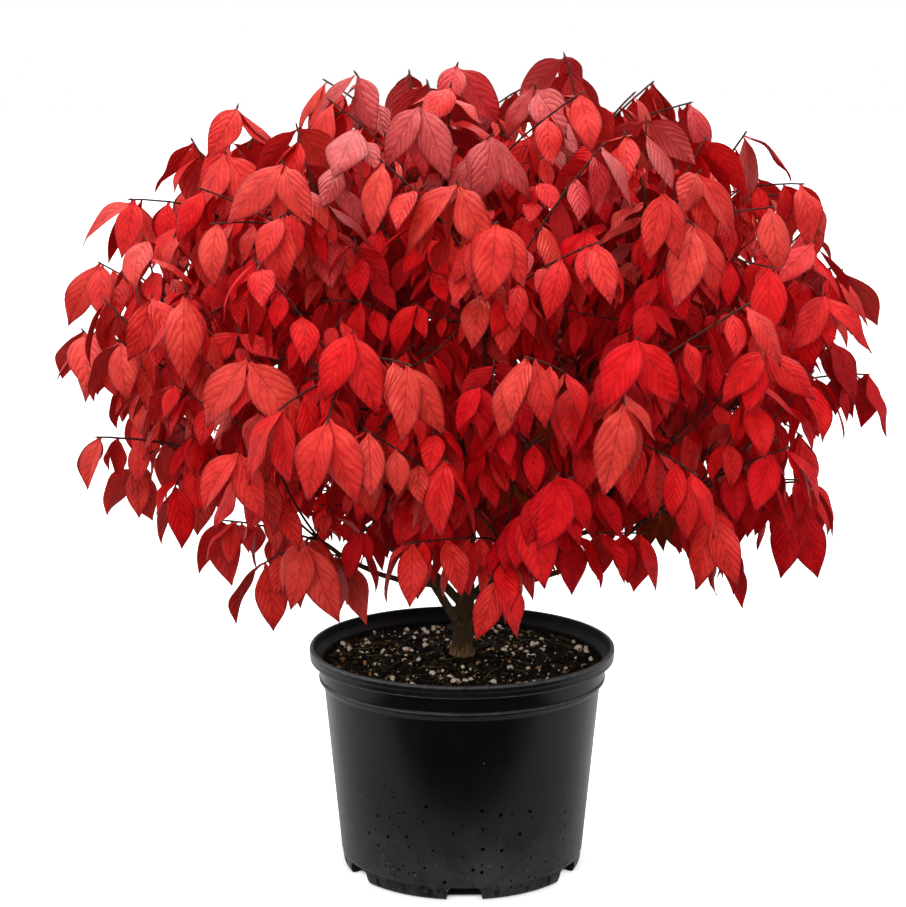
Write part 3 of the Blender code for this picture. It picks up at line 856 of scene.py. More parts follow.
def place_on_leaf(mesh, along, across, copies):
    """A UV map that says where on its leaf each corner is: across the blade, and along it."""
    corners = np.zeros(len(mesh.loops), dtype=np.int32)
    mesh.loops.foreach_get("vertex_index", corners)
    spot = np.stack([across * outline(along) / 2 + 0.5, along], axis=-1)
    every = np.tile(spot, (copies, 1))
    layer = mesh.uv_layers.new(name="leaf")
    layer.data.foreach_set("uv", every[corners].astype(np.float32).ravel())
    margin = np.tile(np.stack([np.abs(across), along], axis=-1), (copies, 1))
    layer = mesh.uv_layers.new(name="margin")
    layer.data.foreach_set("uv", margin[corners].astype(np.float32).ravel())


# Materials


def add(tree, kind, settings=None, **inputs):
    """A node with its settings and its inputs, each a value or the socket that feeds it."""
    node = tree.nodes.new(kind)
    for name, value in (settings or {}).items():
        setattr(node, name, value)
    for name, value in inputs.items():
        socket = node.inputs[name.replace("_", " ")]
        if isinstance(value, bpy.types.NodeSocket):
            tree.links.new(value, socket)
        else:
            socket.default_value = value
    return node


def maths(tree, operation, *values):
    """A Math node's result."""
    node = tree.nodes.new("ShaderNodeMath")
    node.operation = operation
    for socket, value in zip(node.inputs, values):
        if isinstance(value, bpy.types.NodeSocket):
            tree.links.new(value, socket)
        else:
            socket.default_value = value
    return node.outputs[0]


def ramp(tree, factor, *stops):
    """A colour ramp's result; each stop is a place and a colour."""
    node = add(tree, "ShaderNodeValToRGB", Fac=factor)
    elements = node.color_ramp.elements
    while len(elements) < len(stops):
        elements.new(0.5)
    for element, (place, colour) in zip(elements, stops):
        element.position = place
        element.color = (*colour, 1)
    return node.outputs["Color"]


def blended(tree, factor, first, second):
    """One colour turning to another as the factor goes from 0 to 1."""
    node = tree.nodes.new("ShaderNodeMix")
    node.data_type = "RGBA"
    for socket, value in ((node.inputs[0], factor), (node.inputs[6], first), (node.inputs[7], second)):
        if isinstance(value, bpy.types.NodeSocket):
            tree.links.new(value, socket)
        else:
            socket.default_value = value
    return node.outputs[2]


def shaded(colour, share):
    return tuple(value * share for value in colour)


def grey(value):
    return (value, value, value)


def principled(name, **inputs):
    """A material and its tree, with its Principled shader's own sockets set."""
    made = bpy.data.materials.new(name)
    made.use_nodes = True
    tree = made.node_tree
    shader = tree.nodes["Principled BSDF"]
    for key, value in inputs.items():
        shader.inputs[key.replace("_", " ")].default_value = value
    return made, tree, shader.inputs


def object_place(tree):
    return add(tree, "ShaderNodeTexCoord").outputs["Object"]


def noise_on(tree, vector, scale, detail=3.0, roughness=0.55):
    found = add(tree, "ShaderNodeTexNoise", Vector=vector, Scale=scale, Detail=detail, Roughness=roughness)
    return found.outputs["Fac"]


def bump(tree, height, strength, distance):
    return add(tree, "ShaderNodeBump", Height=height, Strength=strength, Distance=distance).outputs["Normal"]


def vein_group():
    """Veins of a leaf from its UV map: a mask of the veins, and the quilted height between them."""
    group = bpy.data.node_groups.get("leaf veins")
    if group:
        return group
    group = bpy.data.node_groups.new("leaf veins", "ShaderNodeTree")
    socket = group.interface.new_socket
    socket("Pairs", in_out="INPUT", socket_type="NodeSocketFloat").default_value = 6.5
    socket("Slant", in_out="INPUT", socket_type="NodeSocketFloat").default_value = 0.5
    for name in ("Veins", "Lines", "Quilt"):
        socket(name, in_out="OUTPUT", socket_type="NodeSocketFloat")
    given = group.nodes.new("NodeGroupInput").outputs
    result = group.nodes.new("NodeGroupOutput")
    place = add(group, "ShaderNodeUVMap", {"uv_map": "leaf"}).outputs["UV"]
    spot = add(group, "ShaderNodeSeparateXYZ", Vector=place).outputs
    off = maths(group, "ABSOLUTE", maths(group, "SUBTRACT", spot["X"], 0.5))
    swept = maths(group, "ADD", maths(group, "MULTIPLY", off, given["Slant"]), maths(group, "POWER", off, 2))
    uneven = noise_on(group, object_place(group), 90, 1.0)
    along = maths(group, "MULTIPLY", maths(group, "SUBTRACT", spot["Y"], swept), given["Pairs"])
    along = maths(group, "ADD", along, uneven)
    between = maths(group, "MULTIPLY", maths(group, "PINGPONG", along, 0.5), 2)
    side_vein = maths(group, "SUBTRACT", 1, maths(group, "SMOOTH_MIN", maths(group, "MULTIPLY", between, 4), 1, 0.3))
    midrib = maths(group, "SUBTRACT", 1, maths(group, "SMOOTH_MIN", maths(group, "MULTIPLY", off, 36), 1, 0.3))
    veins = maths(group, "MAXIMUM", maths(group, "MULTIPLY", side_vein, 0.5), midrib)
    side_line = maths(group, "LESS_THAN", between, 0.09)
    lines = maths(group, "MAXIMUM", maths(group, "MULTIPLY", side_line, 0.5), maths(group, "LESS_THAN", off, 0.012))
    swelling = maths(group, "SUBTRACT", 1, maths(group, "POWER", maths(group, "SUBTRACT", 1, between), 2))
    quilt = maths(group, "SUBTRACT", swelling, midrib)
    group.links.new(veins, result.inputs["Veins"])
    group.links.new(lines, result.inputs["Lines"])
    group.links.new(quilt, result.inputs["Quilt"])
    return group


def leaf_look(tint):
    """A satin leaf of one tint: mottled, quilted between its veins, dark-edged and pale beneath; its colour carries
    painted light on the swellings between the veins and painted shade in the vein creases and towards its tip.
    """
    colour = TINTS[tint]
    pale_of_tint = 1 - list(TINTS).index(tint) / (len(TINTS) - 1)
    shine = LEAF_SHINE[1] + (LEAF_SHINE[0] - LEAF_SHINE[1]) * pale_of_tint**1.5
    made, tree, sockets = principled(f"leaf_{tint}", Base_Color=(*colour, 1), Specular_IOR_Level=shine)
    place = object_place(tree)
    veins = add(tree, "ShaderNodeGroup", {"node_tree": vein_group()}).outputs
    blade = add(tree, "ShaderNodeUVMap", {"uv_map": "margin"}).outputs["UV"]
    blade = add(tree, "ShaderNodeSeparateXYZ", Vector=blade).outputs
    aside, ahead = blade["X"], blade["Y"]
    margin = maths(tree, "MULTIPLY", maths(tree, "POWER", aside, 9), maths(tree, "ADD", ahead, 0.25))
    margin = maths(tree, "ADD", margin, maths(tree, "POWER", ahead, 14))
    heart = maths(tree, "POWER", maths(tree, "SUBTRACT", 1, aside), 2)
    mottle = noise_on(tree, place, 85, 4.0, 0.62)
    netting = noise_on(tree, place, 480, 3.0, 0.6)
    # Depth of colour: mottling; darker along the veins, as vein colour and as painted shade in their creases; lighter
    # on the quilted swellings, as painted light; darker towards the tip, as painted shade where the leaf hangs down;
    # darker near the midrib
    depth = maths(tree, "ADD", mottle, maths(tree, "MULTIPLY", veins["Veins"], 0.14))
    depth = maths(tree, "ADD", depth, maths(tree, "MULTIPLY", netting, 0.22))
    depth = maths(tree, "SUBTRACT", depth, maths(tree, "MULTIPLY", veins["Quilt"], 0.10))
    depth = maths(tree, "ADD", depth, maths(tree, "MULTIPLY", maths(tree, "SUBTRACT", ahead, 0.5), 0.16))
    depth = maths(tree, "ADD", depth, maths(tree, "MULTIPLY", heart, 0.10))
    warm = (min(1.0, colour[0] * 1.12), colour[1] * 1.7 + 0.006, colour[2] * 1.4 + 0.003)
    upper = ramp(tree, depth, (0.38, warm), (0.60, colour), (0.92, shaded(colour, 0.60)))
    line = (*shaded(colour, 0.55), 1) if colour[1] > 0.01 else (colour[0], 0.05, 0.04, 1)
    upper = blended(tree, maths(tree, "MULTIPLY", veins["Lines"], 0.19), upper, line)
    upper = blended(tree, margin, upper, (colour[0] * 0.20, 0.003, 0.010, 1))
    pale = (0.30 + 0.5 * colour[0], 0.009 + 0.7 * colour[1], 0.009 + 0.7 * colour[2])
    lower = ramp(tree, depth, (0.4, pale), (0.95, shaded(pale, 0.65)))
    behind = add(tree, "ShaderNodeNewGeometry").outputs["Backfacing"]
    tree.links.new(blended(tree, behind, upper, lower), sockets["Base Color"])
    gloss = ramp(tree, mottle, (0.3, grey(0.38)), (0.8, grey(0.55)))
    tree.links.new(gloss, sockets["Roughness"])
    height = maths(tree, "ADD", veins["Quilt"], maths(tree, "MULTIPLY", netting, 1.4))
    tree.links.new(bump(tree, height, 0.48, 0.0010), sockets["Normal"])
    return made


def speck_group():
    """Round specks of one size at some of the cells of a pattern, as a mask."""
    group = bpy.data.node_groups.get("specks")
    if group:
        return group
    group = bpy.data.node_groups.new("specks", "ShaderNodeTree")
    socket = group.interface.new_socket
    socket("Place", in_out="INPUT", socket_type="NodeSocketVector")
    for name in ("Scale", "Share", "Size"):
        socket(name, in_out="INPUT", socket_type="NodeSocketFloat")
    socket("Specks", in_out="OUTPUT", socket_type="NodeSocketFloat")
    given = group.nodes.new("NodeGroupInput").outputs
    result = group.nodes.new("NodeGroupOutput")
    cells = add(group, "ShaderNodeTexVoronoi", Vector=given["Place"], Scale=given["Scale"]).outputs
    chance = add(group, "ShaderNodeSeparateXYZ", Vector=cells["Color"]).outputs["X"]
    chosen = maths(group, "LESS_THAN", chance, given["Share"])
    near = maths(group, "LESS_THAN", cells["Distance"], given["Size"])
    group.links.new(maths(group, "MULTIPLY", chosen, near), result.inputs["Specks"])
    return group


def specks(tree, place, scale, share, size):
    made = add(tree, "ShaderNodeGroup", {"node_tree": speck_group()}, Place=place, Scale=scale, Share=share, Size=size)
    return made.outputs["Specks"]


def bark(name, colour, relief, painted_shade_above=None):
    """Bark: streaks along the wood, pale specks, and small cracks; from a given height up it may be darker, as painted
    shade.
    """
    made, tree, sockets = principled(name, Base_Color=(*colour, 1), Roughness=0.8, Specular_IOR_Level=0.12)
    place = object_place(tree)
    streaks = add(tree, "ShaderNodeMapping", Vector=place, Scale=(1, 1, 0.2)).outputs["Vector"]
    grain = noise_on(tree, streaks, 500, 4.0)
    pores = specks(tree, streaks, 420, 0.25, 0.22)
    tone = maths(tree, "ADD", grain, maths(tree, "MULTIPLY", pores, 0.2))
    # Darker from this height up: painted shade
    if painted_shade_above:
        height = add(tree, "ShaderNodeSeparateXYZ", Vector=place).outputs["Z"]
        above = maths(tree, "MULTIPLY", maths(tree, "SUBTRACT", height, painted_shade_above), 30)
        tone = maths(tree, "SUBTRACT", tone, maths(tree, "MINIMUM", maths(tree, "MAXIMUM", above, 0), 0.4))
    stops = ((0.25, shaded(colour, 0.25)), (0.5, colour), (0.8, shaded(colour, 1.9)))
    tree.links.new(ramp(tree, tone, *stops), sockets["Base Color"])
    tree.links.new(ramp(tree, grain, (0.2, grey(0.9)), (0.9, grey(0.62))), sockets["Roughness"])
    tree.links.new(bump(tree, grain, relief, 0.0008), sockets["Normal"])
    return made


# Pot


def ring(tree, height, level, width):
    """A soft ring round the pot at one level."""
    off = maths(tree, "ABSOLUTE", maths(tree, "SUBTRACT", height, level))
    return maths(tree, "MAXIMUM", maths(tree, "SUBTRACT", 1, maths(tree, "DIVIDE", off, width)), 0)


def limited(tree, value):
    """A value kept between 0 and 1."""
    return maths(tree, "MINIMUM", maths(tree, "MAXIMUM", value, 0), 1)


def pot_dust_and_painted_light(tree, place, spot):
    """How much dust, soil specks and painted light lighten the pot's plastic, from 0 to 1: painted highlight lines
    along the rim and band edges, and a lightening towards the foot that is partly dust and partly painted floor
    reflection.
    """
    height = spot["Z"]
    # Lighter towards the foot: partly dust, partly painted reflection of the floor
    low = limited(tree, maths(tree, "SUBTRACT", 1, maths(tree, "MULTIPLY", height, 10)))
    patches = noise_on(tree, place, 24, 5.0, 0.65)
    dust_and_painted_light = maths(tree, "MULTIPLY", maths(tree, "ADD", low, 0.28), patches)
    edges = noise_on(tree, place, 150, 4.0)
    # Light lines along the lip's top edge, under the lip and along the band's foot: painted highlights where rounded
    # edges catch the light; the whole lip is a little lighter too
    painted_edge_highlights = ring(tree, height, POT_HEIGHT - 0.0012, 0.0018)
    for level in (POT_HEIGHT - LIP_DEPTH + 0.001, BAND_FOOT + 0.002):
        painted_edge_highlights = maths(tree, "MAXIMUM", painted_edge_highlights, maths(tree, "MULTIPLY", ring(tree, height, level, 0.0013), 0.6))
    lip = maths(tree, "MULTIPLY", maths(tree, "GREATER_THAN", height, POT_HEIGHT - LIP_DEPTH), 0.10)
    painted_edge_highlights = maths(tree, "MULTIPLY", maths(tree, "MAXIMUM", painted_edge_highlights, lip), edges)
    dust_and_painted_light = maths(tree, "ADD", maths(tree, "MULTIPLY", dust_and_painted_light, 0.32), painted_edge_highlights)
    splashes = maths(tree, "MULTIPLY", specks(tree, place, 210, 0.22, 0.13), maths(tree, "LESS_THAN", height, 0.045))
    crumbs = maths(tree, "MAXIMUM", specks(tree, place, 110, 0.10, 0.06), splashes)
    return maths(tree, "MAXIMUM", dust_and_painted_light, maths(tree, "MULTIPLY", crumbs, 0.8))


def pot_plastic():
    """Black moulded plastic: satin, with painted highlight lines along its edges, lighter towards the foot as dust and
    painted floor reflection, darkened in its nicks and under its foot as painted shade, dirty inside, pitted.
    """
    made, tree, sockets = principled("pot_plastic", Base_Color=(0.006, 0.006, 0.007, 1), Specular_IOR_Level=0.32,
                                     Specular_Tint=(0.93, 0.95, 1.0, 1), Sheen_Weight=0.08, Sheen_Roughness=0.35)
    place = object_place(tree)
    spot = add(tree, "ShaderNodeSeparateXYZ", Vector=place).outputs
    away = maths(tree, "SQRT", maths(tree, "ADD", maths(tree, "POWER", spot["X"], 2), maths(tree, "POWER", spot["Y"], 2)))
    lip = maths(tree, "GREATER_THAN", spot["Z"], POT_HEIGHT - LIP_DEPTH)
    wall = maths(tree, "MULTIPLY_ADD", lip, LIP_RADIUS - LIP_WIDTH - BAND_RADIUS + WALL, BAND_RADIUS - WALL / 2)
    inside = maths(tree, "MULTIPLY", maths(tree, "LESS_THAN", away, wall),
                   maths(tree, "GREATER_THAN", spot["Z"], BAND_FOOT + 0.003))
    outside = maths(tree, "SUBTRACT", 1, inside)
    pits = maths(tree, "MAXIMUM", specks(tree, place, 120, 0.24, 0.21), specks(tree, place, 230, 0.16, 0.24))
    pits = maths(tree, "MULTIPLY", pits, maths(tree, "LESS_THAN", spot["Z"], 0.105))
    low = maths(tree, "LESS_THAN", spot["Z"], FOOT_TOP - 0.001)
    # Darker in the nicks, the notches' sides and under the foot: painted shade in these recesses
    painted_shade_in_nicks = maths(tree, "MULTIPLY", low, maths(tree, "LESS_THAN", away, maths(tree, "MULTIPLY_ADD", spot["Z"], 0.2, 0.1082)))
    stains = maths(tree, "MULTIPLY_ADD", noise_on(tree, place, 150, 4.0), 3.0, -1.2)
    stains = maths(tree, "MULTIPLY", low, maths(tree, "MINIMUM", maths(tree, "MAXIMUM", stains, 0), 0.6))
    dark = maths(tree, "MAXIMUM", maths(tree, "MAXIMUM", pits, stains), maths(tree, "MULTIPLY", painted_shade_in_nicks, 0.85))
    tree.links.new(dark, sockets["Metallic"])
    dust_and_painted_light = maths(tree, "MULTIPLY", pot_dust_and_painted_light(tree, place, spot), outside)
    dust_and_painted_light = maths(tree, "SUBTRACT", dust_and_painted_light, pits)
    stops = ((0.0, (0.0010, 0.0010, 0.0010)), (0.10, (0.0052, 0.0056, 0.0072)), (1.0, (0.200, 0.205, 0.210)))
    tree.links.new(ramp(tree, dust_and_painted_light, *stops), sockets["Base Color"])
    scuffs = noise_on(tree, add(tree, "ShaderNodeMapping", Vector=place, Scale=(1, 1, 0.35)).outputs["Vector"], 60, 6.0)
    gloss = maths(tree, "ADD", maths(tree, "MULTIPLY", scuffs, 0.20), maths(tree, "MULTIPLY", dust_and_painted_light, 0.5))
    gloss = maths(tree, "ADD", gloss, maths(tree, "MULTIPLY", inside, 0.4))
    tree.links.new(maths(tree, "ADD", gloss, 0.11), sockets["Roughness"])
    low = limited(tree, maths(tree, "SUBTRACT", 1.5, maths(tree, "MULTIPLY", spot["Z"], 40)))
    rough = maths(tree, "MULTIPLY_ADD", low, 1.2, 0.5)
    grain = maths(tree, "SUBTRACT", maths(tree, "MULTIPLY", noise_on(tree, place, 500, 3.0), rough), pits)
    tree.links.new(bump(tree, grain, 0.22, 0.0006), sockets["Normal"])
    return made


POT_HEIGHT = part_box("pot")[1].z
LIP_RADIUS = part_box("pot")[1].x
LIP_WIDTH = 0.0045
LIP_DEPTH = 0.012
LIP_RIDGE = 0.0065
LIP_ROUND = 0.0015
BAND_RADIUS = 0.1305
BAND_FOOT = 0.176
BODY_TOP_RADIUS = 0.1268
BODY_TOP = 0.172
BODY_FOOT_RADIUS = 0.1118
FOOT_TOP = 0.0135
FOOT_RADIUS = 0.1109
FOOT_WALL = 0.0060
BODY_FOOT = 0.006
BASE_RADIUS = 0.1085
WALL = 0.0018
FLOOR = 0.0025
POT_SIDES = 144
NOTCHES = 6
NOTCH_START = 1.0
NOTCH_MIDDLE = 0.1110
NOTCH_SIZE = (0.0325, 0.0260, 0.0240)
NOTCH_FLARE = 0.16
NICKS = ((15.5, 1.0), (31.0, 0.8), (44.0, 1.1))
NICK_MIDDLE = 0.1115
NICK_SIZE = (0.0048, 0.0060, 0.0190)
NICK_ROUND = 0.38


def rounded(corners):
    """An outline whose corners are arcs; each corner is a radius, a height and a rounding."""
    made = []
    for i, (radius, height, rounding) in enumerate(corners):
        here = Vector((radius, height))
        if rounding == 0 or i in (0, len(corners) - 1):
            made.append(here)
            continue
        back = Vector(corners[i - 1][:2]) - here
        ahead = Vector(corners[i + 1][:2]) - here
        start = here + back.normalized() * min(rounding, back.length * 0.45)
        end = here + ahead.normalized() * min(rounding, ahead.length * 0.45)
        made += [start.lerp(here, t).lerp(here.lerp(end, t), t) for t in (0, 0.25, 0.5, 0.75, 1)]
    return made


def pot_outline():
    """From the middle of the floor, up inside, over the lip and down outside to the underside."""
    lip_foot = POT_HEIGHT - LIP_DEPTH
    return rounded([
        (0.0, FLOOR, 0),
        (FOOT_RADIUS - FOOT_WALL, FLOOR, 0.001),
        (FOOT_RADIUS - FOOT_WALL, FOOT_TOP, 0.002),
        (BODY_FOOT_RADIUS - WALL, FOOT_TOP + 0.004, 0.002),
        (BODY_TOP_RADIUS - WALL, BODY_TOP, 0.001),
        (BAND_RADIUS - WALL, BAND_FOOT, 0.001),
        (BAND_RADIUS - WALL, lip_foot, 0.001),
        (LIP_RADIUS - LIP_WIDTH, lip_foot + LIP_WIDTH, 0.0015),
        (LIP_RADIUS - LIP_WIDTH + 0.0006, POT_HEIGHT, 0.0016),
        (LIP_RADIUS - 0.0004, POT_HEIGHT, 0.0020),
        (LIP_RADIUS, POT_HEIGHT - LIP_RIDGE + 0.0010, 0.0010),
        (LIP_RADIUS - 0.0009, POT_HEIGHT - LIP_RIDGE, 0.0004),
        (LIP_RADIUS - 0.0005, lip_foot + 0.0010, 0.0010),
        (LIP_RADIUS - 0.0026, lip_foot, 0.0008),
        (BAND_RADIUS + 0.0006, lip_foot - 0.0006, 0.0016),
        (BAND_RADIUS, BAND_FOOT + 0.0035, 0.0010),
        (BAND_RADIUS + 0.0011, BAND_FOOT + 0.0022, 0.0007),
        (BAND_RADIUS + 0.0008, BAND_FOOT - 0.0004, 0.0009),
        (BODY_TOP_RADIUS, BODY_TOP, 0.0020),
        (BODY_FOOT_RADIUS, FOOT_TOP + 0.0010, 0.0010),
        (FOOT_RADIUS, FOOT_TOP - 0.0004, 0.0008),
        (FOOT_RADIUS - 0.0004, BODY_FOOT, 0.0030),
        (BASE_RADIUS, 0.0, 0.0030),
        (BASE_RADIUS - 0.006, 0.0, 0.0005),
        (BASE_RADIUS - 0.008, 0.0012, 0.0005),
        (0.0, 0.0012, 0),
    ])


def turned_mesh(name, points, sides):
    """An outline of radii and heights turned about Z, as a closed mesh."""
    bm = bmesh.new()
    verts = [bm.verts.new((point[0], 0, point[1])) for point in points]
    edges = [bm.edges.new(pair) for pair in zip(verts, verts[1:])]
    bmesh.ops.spin(bm, geom=verts + edges, cent=(0, 0, 0), axis=(0, 0, 1), angle=TURN, steps=sides, use_merge=True)
    bmesh.ops.remove_doubles(bm, verts=bm.verts, dist=0.00002)
    bmesh.ops.recalc_face_normals(bm, faces=bm.faces)
    mesh = bpy.data.meshes.new(name)
    bm.to_mesh(mesh)
    bm.free()
    mesh.shade_smooth()
    return mesh


def notch_cutter():
    """Six rounded blocks round the foot, one of them facing the front, and small nicks between."""
    bm = bmesh.new()

    def block(turned, away, size, rounding, flare=0.0):
        verts = bmesh.ops.create_cube(bm, size=1)["verts"]
        for vert in verts:
            vert.co.x *= 1 - flare * 2 * vert.co.z
        edges = list({edge for vert in verts for edge in vert.link_edges})
        turn = Matrix.Rotation(math.radians(turned), 4, "Z")
        place = Matrix.Translation(bearing(turned) * away)
        bmesh.ops.transform(bm, matrix=place @ turn @ Matrix.Diagonal((*size, 1)), verts=verts)
        bmesh.ops.bevel(bm, geom=edges, offset=rounding, offset_type="OFFSET", segments=3, profile=0.5,
                        affect="EDGES", material=-1)

    for i in range(NOTCHES):
        sector = NOTCH_START + 360 * i / NOTCHES
        block(sector, NOTCH_MIDDLE, NOTCH_SIZE, 0.003, NOTCH_FLARE)
        for step, share in NICKS:
            wide, deep, high = NICK_SIZE
            block(sector + step, NICK_MIDDLE, (wide * share, deep, high * share), wide * share * NICK_ROUND)
    mesh = bpy.data.meshes.new("notches")
    bm.to_mesh(mesh)
    bm.free()
    return mesh


def cut_away(mesh, cutter_mesh):
    """What is left of a mesh once the cutter is taken out of it."""
    whole = bpy.data.objects.new("whole", mesh)
    cutter = bpy.data.objects.new("cutter", cutter_mesh)
    for item in (whole, cutter):
        bpy.context.scene.collection.objects.link(item)
    cut = whole.modifiers.new("cut", "BOOLEAN")
    cut.operation = "DIFFERENCE"
    cut.object = cutter
    bpy.context.view_layer.update()
    left = bpy.data.meshes.new_from_object(whole.evaluated_get(bpy.context.evaluated_depsgraph_get()))
    bpy.data.objects.remove(whole)
    bpy.data.objects.remove(cutter)
    return left


def build_pot():
    mesh = cut_away(turned_mesh("pot_shell", pot_outline(), POT_SIDES), notch_cutter())
    mesh.shade_smooth()
    mesh.set_sharp_from_angle(angle=math.radians(38))
    show("pot_shell", mesh, pot_plastic(), ["pot"])


# Soil


def soil_height(x, y):
    """The soil's surface: a little higher round the trunk, and crumbly."""
    place = Vector((x, y, 0))
    rise = 0.005 * math.exp(-((place.length / 0.045) ** 2))
    coarse = noise.fractal(place * 55, 1.0, 2.0, 3) * 0.0022
    fine = noise.fractal(place * 240, 1.0, 2.0, 3) * 0.0011
    return 0.1905 + rise + coarse + fine


def build_soil():
    edge = BAND_RADIUS - WALL - SEAT
    outline_points = [(edge * i / 70, 0.19) for i in range(71)] + [(edge - 0.001, 0.178), (0.0, 0.178)]
    mesh = turned_mesh("soil_top", outline_points, 200)
    for vert in mesh.vertices:
        if vert.co.z > 0.185:
            vert.co.z = soil_height(vert.co.x, vert.co.y)
    made, tree, sockets = principled("potting_mix", Roughness=0.92, Specular_IOR_Level=0.05)
    place = object_place(tree)
    crumbs = noise_on(tree, place, 260, 5.0, 0.7)
    patches = maths(tree, "MULTIPLY", noise_on(tree, place, 38, 3.0), 0.35)
    stops = ((0.50, (0.001, 0.0007, 0.0004)), (0.72, (0.007, 0.0050, 0.0022)), (0.95, (0.060, 0.040, 0.014)))
    tree.links.new(ramp(tree, maths(tree, "ADD", crumbs, patches), *stops), sockets["Base Color"])
    tree.links.new(bump(tree, crumbs, 0.9, 0.0015), sockets["Normal"])
    show("soil_top", mesh, made, ["soil"])


def lump():
    """A small angular lump, one across."""
    bm = bmesh.new()
    bmesh.ops.create_icosphere(bm, subdivisions=1, radius=0.5)
    for vert in bm.verts:
        vert.co *= 1 + 0.40 * noise.noise(vert.co * 2.6)
    return template(bm)


def chip():
    """A flat splinter of bark, one long."""
    bm = bmesh.new()
    bmesh.ops.create_cube(bm, size=1)
    bmesh.ops.bevel(bm, geom=bm.edges[:], offset=0.18, offset_type="OFFSET", segments=1, profile=0.5,
                    affect="EDGES", material=-1)
    bmesh.ops.triangulate(bm, faces=bm.faces)
    return template(bm)


def strewn(count, sizes, flatness, seed, sink):
    """Frames for bits strewn over the soil, each turned at random."""
    rng = random.Random(seed)
    frames = []
    while len(frames) < count:
        away = (BAND_RADIUS - 0.008) * math.sqrt(rng.random())
        turn = rng.uniform(0, TURN)
        x, y = away * math.cos(turn), away * math.sin(turn)
        size = sizes[0] + (sizes[1] - sizes[0]) * rng.random() ** 2.6
        if away < TRUNK_RADII[0] + size:
            continue
        spin = Matrix.Rotation(rng.uniform(0, TURN), 4, "Z")
        tilt = Matrix.Rotation(rng.gauss(0, 0.35), 4, "X") @ Matrix.Rotation(rng.gauss(0, 0.35), 4, "Y")
        shape = Matrix.Diagonal((size, size * rng.uniform(0.45, 0.9), size * flatness * rng.uniform(0.6, 1.2), 1))
        middle = Vector((x, y, soil_height(x, y) + size * flatness * (0.5 - sink)))
        frames.append(Matrix.Translation(middle) @ spin @ tilt @ shape)
    return frames


def speckled(name, colour, scale, spread=0.5):
    """A matte material with uneven tone."""
    made, tree, sockets = principled(name, Roughness=0.88, Specular_IOR_Level=0.3)
    tone = noise_on(tree, object_place(tree), scale, 4.0)
    stops = ((0.25, shaded(colour, 1 - spread)), (0.75, shaded(colour, 1 + spread)))
    tree.links.new(ramp(tree, tone, *stops), sockets["Base Color"])
    tree.links.new(bump(tree, tone, 0.5, 0.0005), sockets["Normal"])
    return made


SOIL_BITS = {
    "perlite": (420, (0.0008, 0.0076), 0.80, 3, 0.25, (0.92, 0.82, 0.64), 0.35),
    "soil_crumbs": (3400, (0.0014, 0.0060), 0.7, 4, 0.3, (0.006, 0.005, 0.003), 0.5),
    "peat_crumbs": (900, (0.0012, 0.0045), 0.7, 8, 0.2, (0.060, 0.040, 0.014), 0.6),
    "tan_grit": (340, (0.0010, 0.0062), 0.7, 12, 0.2, (0.38, 0.21, 0.085), 0.6),
}
CHIPS = (240, (0.0035, 0.0110), 0.22, 6, 0.1)


def build_soil_bits():
    """Perlite, crumbs, bark chips and fibres; each kind is its number, sizes, flatness, seed, how far
    it is sunk, its colour and how uneven that is."""
    for name, (count, sizes, flatness, seed, sink, colour, spread) in SOIL_BITS.items():
        mesh = scattered(name, lump(), strewn(count, sizes, flatness, seed, sink))
        if name != "perlite":
            mesh.shade_flat()
        show(name, mesh, speckled(name, colour, 700, spread))
    chips = scattered("bark_chips", chip(), strewn(*CHIPS))
    show("bark_chips", chips, speckled("bark_chips", (0.020, 0.012, 0.007), 400, 0.8))
    show("root_fibres", fibres(), speckled("root_fibres", (0.14, 0.11, 0.042), 300))


def fibres():
    """Fine roots and straw that lie on the soil."""
    rng = random.Random(9)
    routes = []
    for _ in range(66):
        away = (BAND_RADIUS - 0.012) * math.sqrt(rng.random())
        turn, heading = rng.uniform(0, TURN), rng.uniform(0, TURN)
        x, y = away * math.cos(turn), away * math.sin(turn)
        radius = rng.uniform(0.00014, 0.00042)
        route = []
        for step in range(rng.randint(3, 7)):
            if math.hypot(x, y) > BAND_RADIUS - 0.006:
                break
            route.append((Vector((x, y, soil_height(x, y) + 0.0016)), radius))
            heading += rng.gauss(0, 0.10)
            x, y = x + 0.007 * math.cos(heading), y + 0.007 * math.sin(heading)
        if len(route) > 2:
            routes.append(route)
    return tube_mesh("root_fibres", routes, 0)


# Stage


